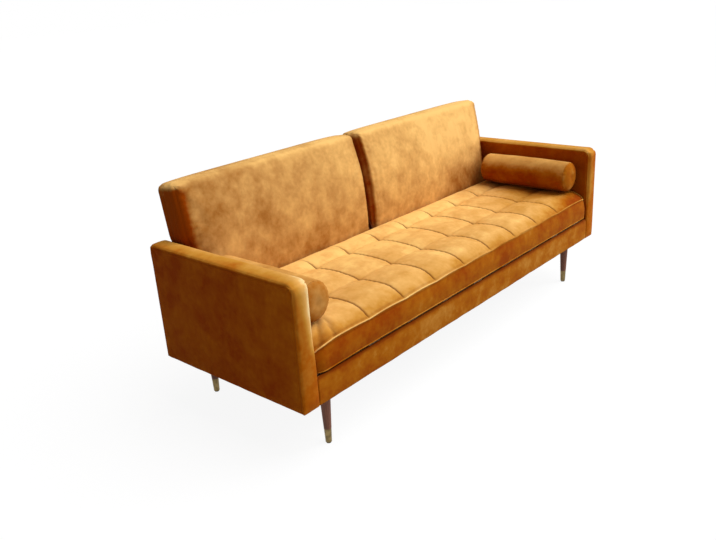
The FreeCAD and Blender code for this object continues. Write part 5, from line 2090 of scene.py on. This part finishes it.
@dataclass
class Studio:
    """The pale floor, the soft light and the camera."""

    eye: Triple = (-2.423, -1.892, 1.484)
    yaw: float = math.radians(47.87)
    pitch: float = math.radians(21.09)
    roll: float = math.radians(-3.73)
    sensor: float = 36.0
    lens: float = 36.0 * 756.0 / 716.0
    key_from: Triple = (0.3, -0.36, 0.88)
    key_power: float = 2.5
    key_softness: float = math.radians(50.0)
    side_from: Triple = (4.2, -3.0, 2.4)
    side_size: float = 2.0
    side_power: float = 110.0
    fill: float = 0.22
    floor_size: float = 60.0
    floor_tone: tuple = (0.5, 0.5, 0.5, 1)
    shadow_tone: tuple = (0.11, 0.11, 0.11, 1)
    floor_glow: float = 0.91

    def camera(self) -> None:
        """Sets the camera where the photographer stood."""
        level = math.cos(self.pitch)
        east, north = math.sin(self.yaw) * level, math.cos(self.yaw) * level
        ahead = Vector((east, north, -math.sin(self.pitch)))
        right = ahead.cross(Vector((0.0, 0.0, 1.0))).normalized()
        above = right.cross(ahead)
        turned_right = math.cos(self.roll) * right + math.sin(self.roll) * above
        turned_up = math.cos(self.roll) * above - math.sin(self.roll) * right
        axes = Matrix((turned_right, turned_up, -ahead)).transposed().to_4x4()
        camera = added(bpy.ops.object.camera_add)
        camera.matrix_world = Matrix.Translation(self.eye) @ axes
        camera.data.sensor_width = self.sensor
        camera.data.lens = self.lens
        bpy.context.scene.camera = camera

    def seen(self, recipe: Recipe) -> Signal:
        """Whether a ray comes straight, by a reflection or through glass from the camera.

        Args:
            recipe: the tree that asks.

        Returns:
            1 for such a ray and 0 for any other.
        """
        path = recipe.node("ShaderNodeLightPath", output="Is Camera Ray")
        names = ("Is Glossy Ray", "Is Transmission Ray")
        others = [Signal(recipe, path.socket.node.outputs[name]) for name in names]
        return (path + others[0] + others[1]).limit()

    def light(self, kind: str, place: Triple, **settings: float) -> None:
        """Adds a light that shines from its place towards the sofa's middle.

        Args:
            kind: the light's type name.
            place: where it shines from.
            **settings: the light's own values, such as its energy.
        """
        light = added(bpy.ops.object.light_add, type=kind, location=place)
        light.rotation_mode = "QUATERNION"
        light.rotation_quaternion = Vector(place).to_track_quat("Z", "Y")
        for key, value in settings.items():
            setattr(light.data, key, value)

    def lights(self) -> None:
        """A broad soft key and a lamp from the right front, and an even fill all round."""
        self.light("SUN", self.key_from, energy=self.key_power, angle=self.key_softness)
        self.light("AREA", self.side_from, size=self.side_size, energy=self.side_power)
        world = bpy.data.worlds.new("studio")
        recipe = Recipe(world)
        bpy.context.scene.world = world
        dim = recipe.node("ShaderNodeBackground", {}, {"Strength": self.fill})
        white = recipe.node("ShaderNodeBackground", {}, {"Color": (1, 1, 1, 1), "Strength": 1.0})
        shown = recipe.node("ShaderNodeMixShader", {}, {0: self.seen(recipe), 1: dim, 2: white})
        recipe.node("ShaderNodeOutputWorld", {}, {"Surface": shown})

    def floor(self) -> None:
        """A pale floor that the camera sees as white, with the sofa's soft shadow on it."""
        plane = added(bpy.ops.mesh.primitive_plane_add, size=self.floor_size)
        named(plane, "studio_floor")
        recipe = Recipe(bpy.data.materials.new("studio_floor"))
        plain = recipe.node("ShaderNodeBsdfDiffuse", {}, {"Color": self.floor_tone})
        shadowed = recipe.node("ShaderNodeBsdfDiffuse", {}, {"Color": self.shadow_tone})
        glow = recipe.node("ShaderNodeEmission", {}, {"Strength": self.floor_glow})
        bright = recipe.node("ShaderNodeAddShader", {}, {0: shadowed, 1: glow})
        shown = recipe.node("ShaderNodeMixShader", {}, {0: self.seen(recipe), 1: plain, 2: bright})
        recipe.node("ShaderNodeOutputMaterial", {}, {"Surface": shown})
        plane.data.materials.append(recipe.owner)
        plane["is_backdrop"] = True

    def build(self) -> None:
        """Sets up the camera, the light and the floor."""
        self.camera()
        self.lights()
        self.floor()
        bpy.context.scene.view_settings.view_transform = "Standard"


def dress_frame(palette: Palette) -> None:
    """Gives every CAD node that stays in view the finish of its record slot.

    Args:
        palette: the sofa's finishes.
    """
    finishes = palette.by_slot()
    for row in frame["record"]["subparts"]:
        finish = finishes.get(row["material_slot"])
        if finish is None:
            continue
        mesh = frame["nodes"][row["node"]].data
        mesh.materials.clear()
        mesh.materials.append(finish)
        LOG.info("%s: %s", row["node"], finish.name)


def aprons() -> tuple[Apron, Apron]:
    """The strip in front of the frame, with its lip under the rail, and the strip behind it.

    Returns:
        The front strip and the rear strip.
    """
    front = Apron(
        "front_apron_pad",
        "front_apron",
        front=-0.364,
        rear=-0.334,
        top=0.311,
        soft=0.004,
        bulge=0.0025,
        faces_front=True,
        rail=-0.3502,
    )
    rear = Apron(
        "rear_apron_pad",
        "rear_apron",
        front=0.346,
        rear=0.354,
        top=0.322,
        soft=0.003,
        bulge=0.001,
        faces_front=False,
        rail=0.4,
    )
    return front, rear


def write_sizes() -> None:
    """Gathers the CAD box and the visual model's box; it writes nothing."""
    boxes = {"cad": CAD_BOX, "visual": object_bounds()}
    plain = {name: [list(low), list(high)] for name, (low, high) in boxes.items()}


def main() -> None:
    """Builds the sofa's pieces in order and reports each."""
    logging.basicConfig(level=logging.INFO, format="%(message)s")
    bpy.ops.object.select_all(action="DESELECT")
    Studio().build()
    palette = Palette()
    dress_frame(palette)
    side = palette.side.make()
    seat = palette.seat.make()
    SeatCushion().build(seat)
    BackPad().build(palette.back.make())
    ArmPad().build(side)
    Bolster().build(palette.bolster.make())
    for apron in aprons():
        apron.build(seat)
    Underside().build(palette.dust.make(), palette.felt.make(), palette.steel.make())
    write_sizes()


if __name__ == "__main__":
    main()
